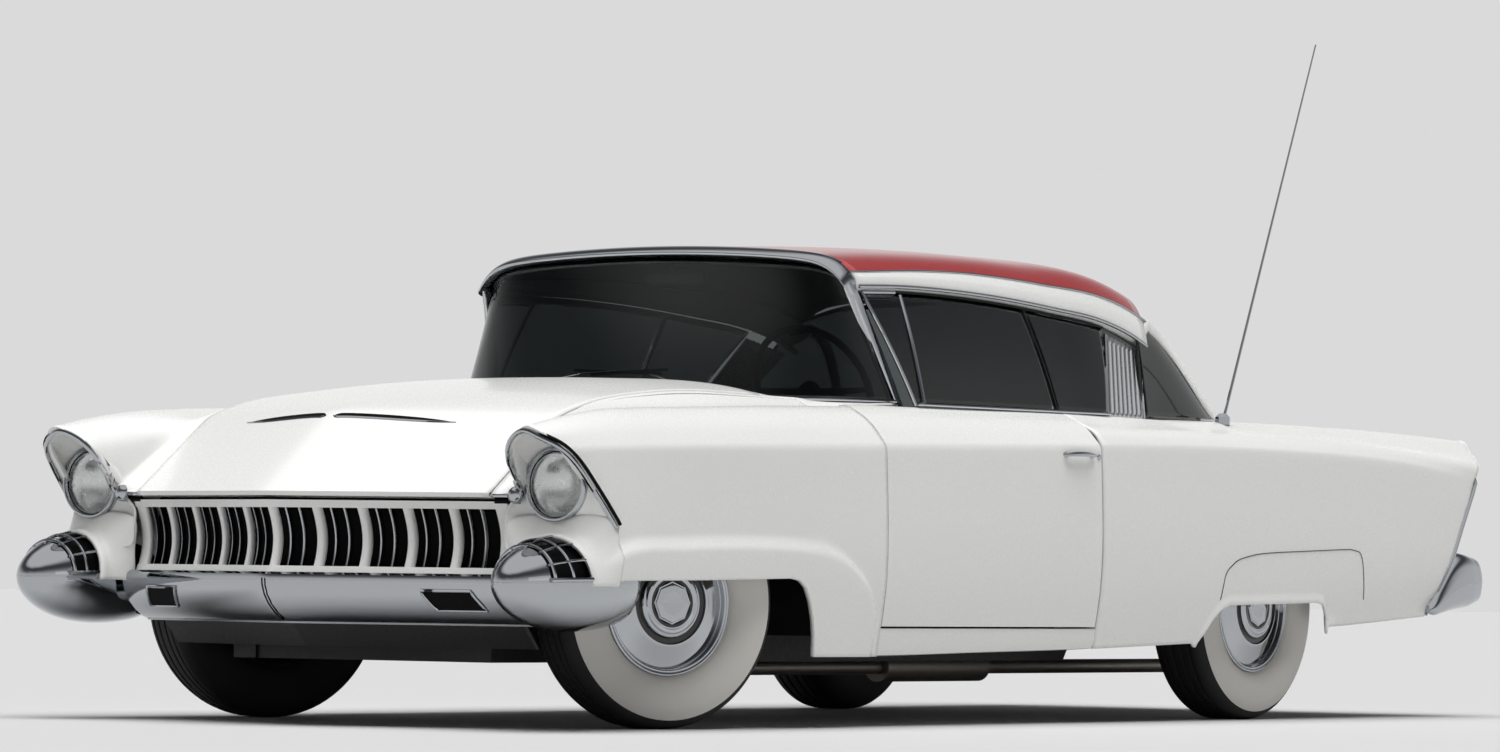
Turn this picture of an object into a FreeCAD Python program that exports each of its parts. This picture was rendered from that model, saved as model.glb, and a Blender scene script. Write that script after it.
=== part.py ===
"""A two-door hardtop car of the middle 1950s, as a parametric assembly.

Frame: +X forward, +Y to the car's left, +Z up, in millimetres, with the origin
on the ground under the middle of the car's length and width.
Every driving size is a cell of the sheet "Sizes".  Boxes, cylinders and pads
are bound to those cells; skins that bend both ways are ruled lofts whose
sections are worked out from the same cells.
"""
import FreeCAD, Part
import math
import os
import re

V = FreeCAD.Vector
doc = FreeCAD.newDocument("classic_car")
sheet = doc.addObject("Spreadsheet::Sheet", "Sizes")

# ---------------------------------------------------------------- sizes (mm)
SIZES = [
    # wheels and axles
    ("front_axle_x", 1722, "front axle ahead of the origin"),
    ("wheelbase", 3023, "front axle to rear axle"),
    ("front_wheel_inset", 231, "outermost door skin to the middle of a front wheel, wheels straight"),
    ("rear_wheel_inset", 214, "outermost door skin to the middle of a rear wheel"),
    ("tyre_radius", 352, "ground to wheel centre"),
    ("tyre_width", 200, "section width of a tyre"),
    ("rim_radius", 204, "outside of the steel rim, where the tyre seats"),
    ("rim_width", 150, "over the rim flanges"),
    ("cover_bulge", 26, "wheel cover's centre beyond the rim flange"),
    ("kingpin_offset", 110, "kingpin axis to wheel centre"),
    ("steer_rest", 21, "degrees that the parked front wheels point right"),
    ("spindle_radius", 20, "stub that carries a wheel"),
    ("bearing_gap", 0.3, "running clearance at a pin or stub"),
    ("kingpin_radius", 18, "kingpin"),
    ("drum_radius", 140, "brake drum behind a wheel"),
    # gaps
    ("shut_gap", 5, "gap round doors and lids"),
    ("seat_gap", 0.3, "clearance of pieces that seat on each other"),
    ("panel_wall", 20, "thickness of a panel with its inner stamping"),
    # side of the body
    ("body_half_width", 968, "outermost door skin"),
    ("flare_out", 20, "front wheel flare beyond the door skin"),
    ("belt_drop", 72, "cowl top down to the door top"),
    ("sill_height", 203, "bottom of the rocker"),
    ("door_front_x", 940, "shut line between fender and door"),
    ("door_length", 1150, "door shut line to shut line"),
    ("door_bottom_z", 290, "lower edge of the door"),
    ("door_trim", 143, "outermost door skin to the door trim low down"),
    ("belt_trim", 183, "outermost door skin to the door trim at the belt"),
    ("handle_x", -78, "middle of the door handle"),
    ("handle_drop", 133, "door top down to the door handle"),
    ("handle_length", 170, "door handle"),
    ("handle_height", 16, "door handle"),
    ("handle_foot", 26, "each foot of the door handle"),
    ("handle_depth", 14, "door handle's feet start this far inside the widest skin"),
    ("cabin_inset", 198, "outermost door skin to the edge of the floor and the cowl"),
    # hood and prow
    ("prow_x", 2583, "hood lip on the middle plane"),
    ("prow_sweep", 0.33, "how far the prow falls back for each unit of width"),
    ("hood_half_width", 625, "middle plane to hood edge"),
    ("hood_rear_x", 1110, "rear edge of the hood"),
    ("lip_height", 648, "hood lip above the ground"),
    ("cowl_height", 1005, "top of the cowl on the middle plane"),
    ("hood_crown", 16, "fall of the hood from its middle to its edge"),
    ("slot_half_width", 15.5, "half width of a grille slot"),
    ("slot_pitch", 37, "from one slot to the next in a group"),
    ("group_pitch", 126, "from one group of slots to the next"),
    ("slot_bottom_z", 436, "foot of a grille slot"),
    ("slot_height", 158, "height of a grille slot"),
    ("grille_hollow", 32, "how far the middle of the grille falls back"),
    ("grille_wall", 24, "depth of a grille bar"),
    ("grille_half_width", 664, "middle plane to grille panel edge"),
    # lamps
    ("lamp_inset", 141, "outermost door skin to the headlamp's centre"),
    ("lamp_z", 693, "headlamp centre"),
    ("lamp_radius", 95, "headlamp lens"),
    ("brow_x", 2520, "foremost point of the headlamp hood"),
    ("brow_z", 846, "height of that point"),
    ("lamp_rake", 0.9, "how far the lamp face falls back for each unit down"),
    # bumpers
    ("bullet_inset", 124, "outermost door skin to the bumper bullet's axis"),
    ("bullet_z", 403, "bumper bullet centre"),
    ("bullet_tip_x", 2620, "bullet tip"),
    ("bullet_radius", 132, "bullet at its fullest"),
    ("bullet_length", 500, "bullet tip to its rear face"),
    ("bumper_top_z", 412, "front bumper blade, upper edge"),
    ("bumper_low_z", 282, "front bumper blade, lower edge"),
    ("rear_bumper_x", -2620, "rearmost point"),
    ("rear_bumper_z", 440, "rear bumper centre"),
    ("rear_bumper_height", 200, "rear bumper, top to bottom at its pods"),
    # tail
    ("deck_half_width", 600, "middle plane to trunk lid edge"),
    ("deck_height", 930, "trunk lid at its front edge"),
    ("lid_front_x", -1740, "front edge of the trunk lid"),
    ("lid_rear_x", -2485, "rear edge of the trunk lid"),
    ("plate_z", 700, "height of the number plate's screws"),
    ("plate_pitch", 178, "between the number plate's screws"),
    ("plate_hole_radius", 3.5, "number plate's screw hole"),
    ("tail_top_x", -2561, "tail edge at the height of the crease"),
    ("tail_rake", 0.64, "how far the tail edge comes forward for each unit down"),
    # roof and glass
    ("roof_height", 1442, "roof on the middle plane"),
    ("roof_half_width", 680, "middle plane to drip rail"),
    ("roof_wall", 32, "roof with its lining"),
    ("header_x", 745, "roof's front edge on the middle plane"),
    ("roof_rear_x", -1110, "roof's rear edge on the middle plane"),
    ("glass_thickness", 8, "every window"),
    ("pillar_width", 34, "windshield pillar"),
    # frame and running gear
    ("rail_y", 420, "frame rail to the middle plane"),
    ("rail_width", 80, "frame rail"),
    ("rail_height", 79, "frame rail"),
    ("rail_bottom", 180, "underside of the frame"),
    ("rail_front_x", 2150, "front end of the frame"),
    ("rail_rear_x", -2490, "rear end of the frame, at the bumper"),
    ("kick_up", 290, "rise of the frame over the rear axle"),
    ("axle_tube_radius", 40, "rear axle housing"),
    ("spring_y", 540, "leaf spring to the middle plane"),
    ("pipe_radius", 22, "exhaust pipe"),
    ("muffler_radius", 45, "muffler"),
    ("exhaust_y", 250, "exhaust to the middle plane"),
    # cabin
    ("floor_top", 285, "top of the cabin floor"),
    ("floor_wall", 24, "floor with its carpet"),
    ("trunk_floor_z", 585, "top of the trunk floor"),
    ("firewall_x", 1000, "front face of the firewall"),
    ("seat_half_width", 660, "bench seats"),
    ("cushion_top", 560, "seat cushion"),
    ("front_back_top", 930, "front seat back"),
    ("wheel_hub_x", 470, "steering wheel hub"),
    ("hub_drop", 20, "cowl top down to the steering wheel hub"),
    ("driver_y", 370, "driver's place to the middle plane"),
    ("steering_rim_radius", 200, "steering wheel"),
    ("column_tilt", 25, "degrees of the steering column from level"),
    ("whip_length", 1340, "antenna"),
    ("whip_radius", 5, "antenna at its foot"),
    ("whip_base_radius", 24, "antenna's base"),
    ("whip_lean", 24, "degrees that the antenna leans back"),
]
for row, (alias, value, meaning) in enumerate(SIZES, start=1):
    sheet.set("A%d" % row, alias)
    sheet.set("B%d" % row, str(value))
    sheet.set("C%d" % row, meaning)
    sheet.setAlias("B%d" % row, alias)
doc.recompute()


class Cells:
    """The sheet's values by name, read once it is worked out."""


s = Cells()
for alias, value, meaning in SIZES:
    setattr(s, alias, float(sheet.get(alias)))
ALIASES = set(alias for alias, value, meaning in SIZES)
s.belt_inner_y = s.body_half_width - s.belt_trim
s.door_inner_y = s.body_half_width - s.door_trim
s.cabin_half_width = s.body_half_width - s.cabin_inset
s.bullet_y = s.body_half_width - s.bullet_inset
s.lamp_y = s.body_half_width - s.lamp_inset
s.belt_height = s.cowl_height - s.belt_drop
s.handle_z = s.belt_height - s.handle_drop
s.wheel_hub_z = s.cowl_height - s.hub_drop
s.half_track_front = s.body_half_width - s.front_wheel_inset
s.half_track_rear = s.body_half_width - s.rear_wheel_inset
rear_axle_x = s.front_axle_x - s.wheelbase
door_rear_x = s.door_front_x - s.door_length
SIDES = (("left", 1), ("right", -1))
nodes = []


# ------------------------------------------------------------------- helpers
def bound(obj, prop, text):
    """Bind a property to a formula of sheet cells, or set a plain number."""
    if isinstance(text, str):
        word = re.compile(r"[a-z][a-z_]*[a-z]")
        obj.setExpression(prop, word.sub(
            lambda m: "Sizes." + m.group(0) if m.group(0) in ALIASES else m.group(0), text))
    else:
        obj.setExpression(prop, repr(float(text)))


def primitive(kind, label, sizes, place, turn=None):
    """A Part primitive with bound sizes and a bound place."""
    obj = doc.addObject(kind, label)
    if turn:
        obj.Placement = FreeCAD.Placement(V(0, 0, 0), FreeCAD.Rotation(V(*turn[0]), turn[1]))
    for prop, text in sizes.items():
        bound(obj, prop, text)
    for axis, text in zip("xyz", place):
        bound(obj, "Placement.Base." + axis, text)
    return obj


def rod(label, radius, length, x, y, z, turn=None):
    """A cylinder from the centre of its first end; turn is (axis, degrees) from +Z."""
    return primitive("Part::Cylinder", label, {"Radius": radius, "Height": length}, (x, y, z), turn)


TO_X = ((0, 1, 0), 90)


def joined(label, parts):
    """Several primitives as one solid."""
    obj = doc.addObject("Part::MultiFuse", label)
    obj.Shapes = parts
    return obj


def feature(label, shape):
    """A shape worked out in code, as an object of the document."""
    obj = doc.addObject("Part::Feature", label)
    obj.Shape = shape
    return obj


def keep(obj):
    """Mark an object as a sub-part that is written to a file of its own."""
    obj.Label = obj.Name
    nodes.append(obj)
    return obj


def ring(points):
    """A closed wire through points."""
    return Part.makePolygon([V(*p) for p in points] + [V(*points[0])])


def loft(rings):
    """A ruled solid through closed rings with the same number of corners.

    Corner i of one ring runs straight to corner i of the next, and a patch
    between two such runs is flat where its corners allow it.
    """
    rings = [[V(*p) for p in r] for r in rings]
    faces = [Part.Face(ring([tuple(p) for p in rings[0]])), Part.Face(ring([tuple(p) for p in rings[-1]]))]
    for one, two in zip(rings, rings[1:]):
        for i in range(len(one)):
            a, b, c, d = one[i - 1], one[i], two[i], two[i - 1]
            across = (b - a).cross(d - a)
            if across.Length and abs((c - a).dot(across)) / across.Length < 1e-6:
                faces.append(Part.Face(Part.makePolygon([a, b, c, d, a])))
            else:
                faces.append(Part.makeRuledSurface(Part.LineSegment(a, b).toShape(),
                                                   Part.LineSegment(d, c).toShape()))
    shell = Part.makeShell(faces)
    shell.sewShape()
    solid = Part.makeSolid(Part.Shell(shell.Faces))
    if solid.Volume < 0:
        solid.reverse()
    return solid


def prism_y(outline, y0, y1):
    """An (x, z) outline carried from y0 to y1."""
    face = Part.Face(ring([(x, y0, z) for x, z in outline]))
    return face.extrude(V(0, y1 - y0, 0))


def prism_z(outline, z0, z1):
    """An (x, y) outline carried from z0 to z1."""
    face = Part.Face(ring([(x, y, z0) for x, y in outline]))
    return face.extrude(V(0, 0, z1 - z0))


def slab(x0, x1, y0, y1, z0, z1):
    """A plain box between two corners."""
    return Part.makeBox(x1 - x0, y1 - y0, z1 - z0, V(x0, y0, z0))


def mirrored(shape):
    """The same piece on the other side of the car."""
    return shape.mirror(V(0, 0, 0), V(0, 1, 0))


def between(table, x):
    """Straight-line values of a table whose rows start with a falling x."""
    rows = sorted(table, key=lambda row: row[0])
    if x <= rows[0][0]:
        return list(rows[0][1:])
    for low, high in zip(rows, rows[1:]):
        if x <= high[0]:
            part = (x - low[0]) / (high[0] - low[0])
            return [a + part * (b - a) for a, b in zip(low[1:], high[1:])]
    return list(rows[-1][1:])


def inset(path, gap):
    """An open (y, z) path moved to its right-hand side by a gap, corners mitred."""
    moved = []
    for i, (y, z) in enumerate(path):
        normals = []
        for (ay, az), (by, bz) in zip(path[max(i - 1, 0):i + 1], path[max(i, 1):i + 2] if i else path[1:2]):
            run = math.hypot(by - ay, bz - az)
            normals.append(((bz - az) / run, -(by - ay) / run))
        if len(normals) == 1:
            ny, nz = normals[0]
            moved.append((y + gap * ny, z + gap * nz))
            continue
        (ay, az), (by, bz) = normals
        spread = 1 + ay * by + az * bz
        moved.append((y + gap * (ay + by) / spread, z + gap * (az + bz) / spread))
    return moved


def ribbon(sections):
    """Glass or trim between a foot line and a head line.

    Each section is (foot point, head point, inward angle from -X in degrees,
    thickness); its four corners lie in one plane.
    """
    rings = []
    for foot, head, angle, thick in sections:
        step = V(-math.cos(math.radians(angle)), -math.sin(math.radians(angle)), 0) * thick
        foot, head = V(*foot), V(*head)
        rings.append([tuple(foot), tuple(head), tuple(head + step), tuple(foot + step)])
    return loft(rings)


# ------------------------------------------------- the side of the body (y, z)
HALF, BELT, SILL = s.body_half_width, s.belt_height, s.sill_height
FLARE = HALF + s.flare_out
FRONT, REAR = s.front_axle_x, rear_axle_x
# x, then crest (y, z), crease (y, z), side (y, z), lip (y, z), low (y, z)
SIDE = [
    (FRONT + 830, HALF - 140, BELT - 87, HALF - 63, BELT - 168, HALF - 18, 520, HALF - 23, 408, HALF - 68,
     SILL),
    (FRONT + 650, HALF - 138, BELT - 59, HALF - 38, BELT - 161, HALF, 520, HALF - 6, 408, HALF - 63, SILL),
    (FRONT + 458, HALF - 138, BELT - 45, HALF - 20, BELT - 157, FLARE - 6, 523, FLARE - 7, 412, HALF - 53,
     SILL),
    (FRONT + 238, HALF - 138, BELT - 35, HALF - 13, BELT - 150, FLARE - 1, 530, FLARE - 2, 414, HALF - 48,
     SILL),
    (FRONT, HALF - 138, BELT - 27, HALF - 11, BELT - 144, FLARE, 534, FLARE, 418, HALF - 43, SILL),
    (FRONT - 322, HALF - 138, BELT - 16, HALF - 11, BELT - 137, FLARE - 3, 529, FLARE - 4, 424, HALF - 38,
     SILL),
    (FRONT - 542, HALF - 146, BELT - 10, HALF - 11, BELT - 132, HALF + 7, 505, HALF, 400, HALF - 36, SILL),
    (s.door_front_x, HALF - 153, BELT - 5, HALF - 11, BELT - 125, HALF, 540, HALF - 6, 400, HALF - 36,
     SILL),
    (door_rear_x, HALF - 156, BELT, HALF - 11, BELT - 100, HALF, 560, HALF - 8, 400, HALF - 38, SILL + 19),
    (REAR + 500, HALF - 163, BELT - 8, HALF - 11, BELT - 90, HALF, 560, HALF - 8, 400, HALF - 38,
     SILL + 40),
    (REAR - 340, HALF - 163, BELT - 4, HALF - 11, BELT - 97, HALF - 2, 545, HALF - 10, 415, HALF - 38,
     SILL + 87),
    (REAR - 704, HALF - 156, BELT - 8, HALF - 16, BELT - 111, HALF - 8, 535, HALF - 16, 430, HALF - 43,
     SILL + 107),
    (REAR - 1029, HALF - 143, BELT - 13, HALF - 23, BELT - 136, HALF - 18, 530, HALF - 30, 450, HALF - 63,
     SILL + 122),
    (REAR - 1345, HALF - 123, BELT - 21, HALF - 43, BELT - 168, HALF - 43, 520, HALF - 63, 460, HALF - 88,
     SILL + 127),
]


def side_points(x):
    """Crest, crease, side, lip and low points of the side at x."""
    row = between(SIDE, x)
    return [(row[i], row[i + 1]) for i in range(0, 10, 2)]


def hood_outline(y):
    """The hood's top line at a width y, as (x, z) from the rear edge to the lip."""
    back = s.prow_sweep * abs(y)
    fall = s.hood_crown * (y / s.hood_half_width) ** 2
    return [
        (s.hood_rear_x, s.cowl_height - 2 - fall),
        (s.hood_rear_x + 390, s.cowl_height - 10 - fall),
        (s.prow_x - 621 - back / 2, s.cowl_height - 62 - fall),
        (s.prow_x - 321 - back, s.cowl_height - 115 - fall),
        (s.prow_x - 253 - back, s.cowl_height - 160 - fall),
        (s.prow_x - back, s.lip_height),
    ]


def hood_z(x, y):
    """Height of the hood's top at a place."""
    return between(hood_outline(y), x)[0]


def fender_path(x):
    """Outer path of a front fender at x, from the hood's edge to the sill."""
    crest, crease, side, lip, low = side_points(x)
    edge = s.hood_half_width + s.shut_gap
    ahead = max(0.0, min(1.0, (x - FRONT - 238) / 412))
    shoulder = (edge + 76, crest[1] - 17 - 57 * ahead)
    inner = (edge + 34 * ahead, hood_z(x, edge) - 60 * max(0.0, ahead - 0.9) / 0.1 * 0.5)
    return [inner, shoulder, crest, crease, side, lip, low]


def quarter_path(x):
    """Outer path of a rear quarter at x, from the trunk lid's edge to the sill."""
    crest, crease, side, lip, low = side_points(x)
    aft = max(0.0, (REAR - 340 - x) / 990)
    shelf = (crest[0] + 56, crest[1] - 33 - 44 * aft)
    return [(s.deck_half_width + s.shut_gap, deck_z(x)), (crest[0] - 60, deck_z(x) + 2),
            crest, shelf, crease, side, lip, low]


DECK = [(s.lid_front_x + 900, s.deck_height), (s.lid_front_x, s.deck_height),
        (s.lid_front_x - 370, s.deck_height - 8), (s.lid_rear_x, s.deck_height - 50),
        (s.lid_rear_x - 120, s.deck_height - 80)]


def deck_z(x):
    """Height of the rear deck at x."""
    return between(DECK, x)[0]


def upright_end(outer, inner):
    """The inset path with its first point straight below the outer path's first point."""
    (ay, az), (by, bz) = inner[:2]
    y = outer[0][0]
    return [(y, az + (y - ay) * (bz - az) / (by - ay))] + inner[1:]


def channel(path_at, stations, wall):
    """A skin of one thickness along a path that changes from station to station."""
    rings = []
    for x in stations:
        outer = path_at(x)
        inner = upright_end(outer, inset(outer, wall))
        rings.append([(x, y, z) for y, z in outer] + [(x, y, z) for y, z in reversed(inner)])
    return loft(rings)


def core(path_at, stations, wall):
    """The space inside such a skin, closed straight across from edge to edge."""
    return loft([[(x, y, z) for y, z in upright_end(path_at(x), inset(path_at(x), wall))]
                 for x in stations])


# -------------------------------------------------------------- front fenders
fender_stations = [s.door_front_x + s.shut_gap, FRONT - 542, FRONT - 322, FRONT, FRONT + 238,
                   FRONT + 458, FRONT + 650, FRONT + 830]
fender_skin = channel(fender_path, fender_stations, s.panel_wall)
lamp_foot_z = 525
lamp_foot_x = s.brow_x - s.lamp_rake * (s.brow_z - lamp_foot_z)
face_line = [(s.brow_x + s.lamp_rake * 154, s.brow_z + 154), (lamp_foot_x, lamp_foot_z),
             (lamp_foot_x + 60, 100)]
ahead_of_face = prism_y(face_line + [(3200, 100), (3200, 1000)], 300, 1100)
front_arch = prism_y([(2900, 100), (2900, 408), (FRONT + 568, 410), (FRONT - 290, 425), (FRONT - 352, 400),
                      (FRONT - 385, 330), (FRONT - 412, 250), (FRONT - 426, 100)], 300, 1100)
# hinge barrel of the door, in the shut gap at the skin line
hinge_x, hinge_y = s.door_front_x + s.shut_gap / 2, HALF - s.shut_gap / 2
barrel_radius = s.shut_gap / 2 - s.seat_gap
barrel = Part.makeCylinder(barrel_radius, 90, V(hinge_x, hinge_y, 495))
barrel = barrel.fuse(slab(hinge_x, hinge_x + s.shut_gap, hinge_y - 1.5, hinge_y + 1, 495, 585))
fender_left = fender_skin.cut(ahead_of_face).cut(front_arch).fuse(barrel).removeSplitter()
keep(feature("front_fender_left", fender_left))
keep(feature("front_fender_right", mirrored(fender_left)))

# ------------------------------------------------------------------ headlamps
lamp_core = core(fender_path, fender_stations[-4:], s.panel_wall + s.seat_gap)
face_depth = 34
behind = [(x - face_depth, z) for x, z in face_line]
face_slab = prism_y([face_line[0], face_line[1], behind[1], behind[0]], 300, 1100)
bezel = lamp_core.common(face_slab)
bucket = Part.makeCylinder(s.lamp_radius + 14, 150, V(lamp_foot_x + 20, s.lamp_y, s.lamp_z), V(1, 0, 0))
bezel = bezel.cut(Part.makeCylinder(s.lamp_radius + 14, 600, V(lamp_foot_x - 60, s.lamp_y, s.lamp_z),
                                    V(1, 0, 0)))
lens = Part.makeSphere(1.6 * s.lamp_radius, V(lamp_foot_x + 20, s.lamp_y, s.lamp_z))
lamp = bezel.fuse(bucket.common(lens).cut(ahead_of_face.common(
    slab(0, 3200, 300, 1100, s.lamp_z + s.lamp_radius - 20, 1100))))
lamp_left = lamp.cut(fender_left)
lamp_left = max(lamp_left.Solids, key=lambda solid: solid.Volume)
keep(feature("headlamp_left", lamp_left))
keep(feature("headlamp_right", mirrored(lamp_left)))

# ----------------------------------------------------------------------- hood
hood_rings = []
for share in (-1, -0.5, 0, 0.5, 1):
    y = share * s.hood_half_width
    top = hood_outline(y)
    back = [(x, z - s.panel_wall) for x, z in top[:4]]
    nose = [(top[4][0] - s.panel_wall, top[4][1] - s.panel_wall),
            (top[5][0] - 1.5 * s.panel_wall, top[5][1] - 20),
            (top[5][0], top[5][1] - 20)]
    hood_rings.append([(x, y, z) for x, z in top + nose[::-1] + back[::-1]])
hood = loft(hood_rings)
trunnion = s.shut_gap - s.seat_gap
hood_pin_x = s.hood_rear_x + 120
hood_pin_z = hood_z(hood_pin_x, s.hood_half_width) - s.panel_wall / 2
hood = hood.fuse(Part.makeCylinder(6, 2 * (s.hood_half_width + trunnion),
                                   V(hood_pin_x, -s.hood_half_width - trunnion,
                                                                          hood_pin_z), V(0, 1, 0)).cut(
    slab(0, 2000, -s.hood_half_width + 10, s.hood_half_width - 10, 900, 1100)))
keep(feature("hood", hood.removeSplitter()))

# --------------------------------------------------------------- grille panel
grille_top = s.lip_height - 20 - s.shut_gap
grille_foot = s.bumper_top_z - 10 + s.seat_gap
edge_y = s.grille_half_width
grille_rings = []
for y in (-edge_y, 0, edge_y):
    face_x = s.prow_x - s.prow_sweep * abs(y) - 4
    middle_z = (grille_top + grille_foot) / 2
    face = [(face_x, grille_top), (face_x - 0.8 * s.grille_hollow, (middle_z + grille_top) / 2),
            (face_x - s.grille_hollow, middle_z),
            (face_x - 0.8 * s.grille_hollow - 4, (middle_z + grille_foot) / 2),
            (face_x - 8, grille_foot)]
    back_face = [(x - s.grille_wall, z) for x, z in reversed(face)]
    grille_rings.append([(x, y, z) for x, z in face + back_face])
grille = loft(grille_rings)
slots = []
for side_sign in (-1, 1):
    for group in range(5):
        for slot in (-1, 0, 1):
            y = side_sign * (s.group_pitch * (group + 0.5)) + slot * s.slot_pitch
            slots.append(slab(s.prow_x - 320, s.prow_x + 20, y - s.slot_half_width, y + s.slot_half_width,
                              s.slot_bottom_z, s.slot_bottom_z + s.slot_height))
grille = grille.cut(Part.makeCompound(slots))
keep(feature("grille_panel", grille))

# --------------------------------------------------------------- front bumper
blade_half = s.bullet_y - 154
blade_rings = []
for y in (-blade_half, -blade_half / 2, 0, blade_half / 2, blade_half):
    nose_x = s.prow_x - s.prow_sweep * abs(y)
    blade_rings.append([(nose_x - 4, y, s.bumper_top_z - 10), (nose_x + 4, y, s.bumper_top_z - 40),
                        (nose_x - 130, y, s.bumper_low_z), (nose_x - 175, y, s.bumper_low_z + 10),
                        (nose_x - 70, y, s.bumper_top_z - 10)])
blade = loft(blade_rings)
for side_name, sign in SIDES:
    mid_y = sign * 518
    blade = blade.cut(slab(2100, 2700, mid_y - 80, mid_y + 80, 322, 380).cut(
        slab(2100, s.prow_x - s.prow_sweep * 598 - 105, mid_y - 90, mid_y + 90, 300, 400)))
keep(feature("front_bumper", blade))

tip, full = s.bullet_tip_x, s.bullet_radius
bullet_line = [(tip, 0), (tip - 20, 0.26 * full), (tip - 70, 0.52 * full), (tip - 150, 0.81 * full),
               (tip - 250, 0.98 * full), (tip - 330, full), (tip - 420, 0.96 * full),
               (tip - s.bullet_length, 0.86 * full), (tip - s.bullet_length, 0)]
bullet_face = Part.Face(ring([(x, s.bullet_y, s.bullet_z + r) for x, r in bullet_line]))
bullet = bullet_face.revolve(V(0, s.bullet_y, s.bullet_z), V(1, 0, 0), 360)
bullet = bullet.cut(slab(1900, 2800, 500, blade_half + s.seat_gap, 0, 700))
cage = Part.makeSphere(64, V(tip - 190, s.bullet_y - 30, s.bullet_z + 80))
bullet = bullet.fuse(cage.common(slab(1900, 2800, blade_half + 5, 1000, 0, 700))).removeSplitter()
bullet = bullet.cut(channel(fender_path, fender_stations[-4:], s.panel_wall + 3).cut(front_arch).common(
    slab(1900, 2800, 500, 1100, 407, 700)))
bullet = bullet.cut(lamp_core.common(prism_y([(lamp_foot_x - face_depth - 2, lamp_foot_z - 2),
                                               (lamp_foot_x + 2, lamp_foot_z - 2), (lamp_foot_x + 302, 900),
                                               (lamp_foot_x - face_depth - 2, 900)], 500, 1100)))
bullet = max(bullet.Solids, key=lambda solid: solid.Volume)
keep(feature("bumper_bullet_left", bullet))
keep(feature("bumper_bullet_right", mirrored(bullet)))

valance_rings = []
for y in (-640, 0, 640):
    nose_x = s.prow_x - s.prow_sweep * abs(y)
    top_z = s.bumper_low_z - s.seat_gap
    valance_rings.append([(nose_x - 131, y, top_z), (nose_x - 190, y, top_z - 62),
                          (nose_x - 205, y, top_z - 62),
                          (nose_x - 150, y, top_z)])
keep(feature("front_valance", loft(valance_rings)))

# ---------------------------------------------------------------------- doors
door_stations = [s.door_front_x, 400, door_rear_x + s.shut_gap]


def door_ring(x):
    """Closed section of a door at x."""
    crest, crease, side, lip, low = side_points(x)
    share = (lip[1] - s.door_bottom_z) / (lip[1] - low[1])
    foot = (lip[0] + share * (low[0] - lip[0]), s.door_bottom_z)
    return [(x, s.belt_inner_y, crest[1]), (x, crest[0], crest[1]), (x,) + crease, (x,) + side, (x,) + lip,
            (x,) + foot, (x, s.door_inner_y, s.door_bottom_z),
            (x, s.door_inner_y - 15, s.belt_height - 153)]


door_left = loft([door_ring(x) for x in door_stations])
handle_y = HALF - s.handle_depth
handle_low = s.handle_z - s.handle_height / 2
handle_rear = s.handle_x - s.handle_length / 2
handle_front = s.handle_x + s.handle_length / 2
grip = slab(handle_rear, handle_front, handle_y + 14, handle_y + 24, handle_low,
            handle_low + s.handle_height)
feet = []
for foot_x in (handle_rear, handle_front - s.handle_foot):
    feet.append(slab(foot_x, foot_x + s.handle_foot, handle_y - 10, handle_y + 14, handle_low,
                     handle_low + s.handle_height))
door_left = door_left.multiFuse([grip] + feet).removeSplitter()
keep(feature("door_left", door_left))
keep(feature("door_right", mirrored(door_left)))

# ------------------------------------------------------------- quarter panels
quarter_stations = [door_rear_x, REAR + 500, REAR, REAR - 340, REAR - 704, REAR - 1029, REAR - 1345]
quarter_skin = channel(quarter_path, quarter_stations, s.panel_wall)
tail_line = [(s.tail_top_x - s.tail_rake * 180, 1000), (s.tail_top_x, 820),
             (s.tail_top_x + s.tail_rake * 620, 200)]
behind_tail = prism_y(tail_line + [(-3200, 200), (-3200, 1000)], 300, 1100)
rear_arch = prism_y([(REAR + 480, 100), (REAR + 473, 244), (REAR + 410, 325), (REAR + 350, 358),
                     (REAR - 200, 368),
                     (REAR - 255, 335), (REAR - 285, 275), (REAR - 295, 100)], 300, 1100)
# foot x, its y as a share of the trim's half width, head x, its y as a share of the roof's, inward angle
BACK_SHARES = [(-1625, 0, -1100, 0, 180), (-1600, 0.318, -1085, 0.338, 172),
               (-1520, 0.586, -1050, 0.588, 158), (-1400, 0.777, -1010, 0.75, 138),
               (-1200, 0.92, -960, 0.875, 112), (-718, 0.995, -873, 0.963, 95)]
BACK = [(fx, fy * s.belt_inner_y, hx, hy * s.roof_half_width, angle)
        for fx, fy, hx, hy, angle in BACK_SHARES]
back_plan = [(x - 1, -y - 1) for x, y, hx, hy, angle in BACK[::-1]]
back_plan += [(x - 1, y + 1) for x, y, hx, hy, angle in BACK[1:]]
cabin_opening = prism_z(back_plan + [(door_rear_x + 5, s.belt_inner_y),
                                     (door_rear_x + 5, -s.belt_inner_y)], 700, 1100)
quarter = quarter_skin.cut(behind_tail).cut(rear_arch).cut(cabin_opening)
quarter_core = core(quarter_path, quarter_stations[:3], s.panel_wall)
side_wall = quarter_core.common(slab(REAR + 430, door_rear_x, s.belt_inner_y, 1100, s.sill_height + 30,
                                     912))
quarter = quarter.fuse(side_wall)
rocker = loft([[(x,) + p for p in (
    (side_points(x)[4][0] + 8, s.door_bottom_z - s.shut_gap), side_points(x)[4],
    (s.cabin_half_width + s.seat_gap, side_points(x)[4][1]),
    (s.cabin_half_width + s.seat_gap, s.door_bottom_z - s.shut_gap))]
    for x in (door_rear_x - 30, s.door_front_x + s.shut_gap - s.seat_gap)])
quarter = quarter.fuse(rocker)
quarter_left = quarter.removeSplitter()
quarter_left = max(quarter_left.Solids, key=lambda solid: solid.Volume)
keep(feature("quarter_panel_left", quarter_left))
keep(feature("quarter_panel_right", mirrored(quarter_left)))

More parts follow.
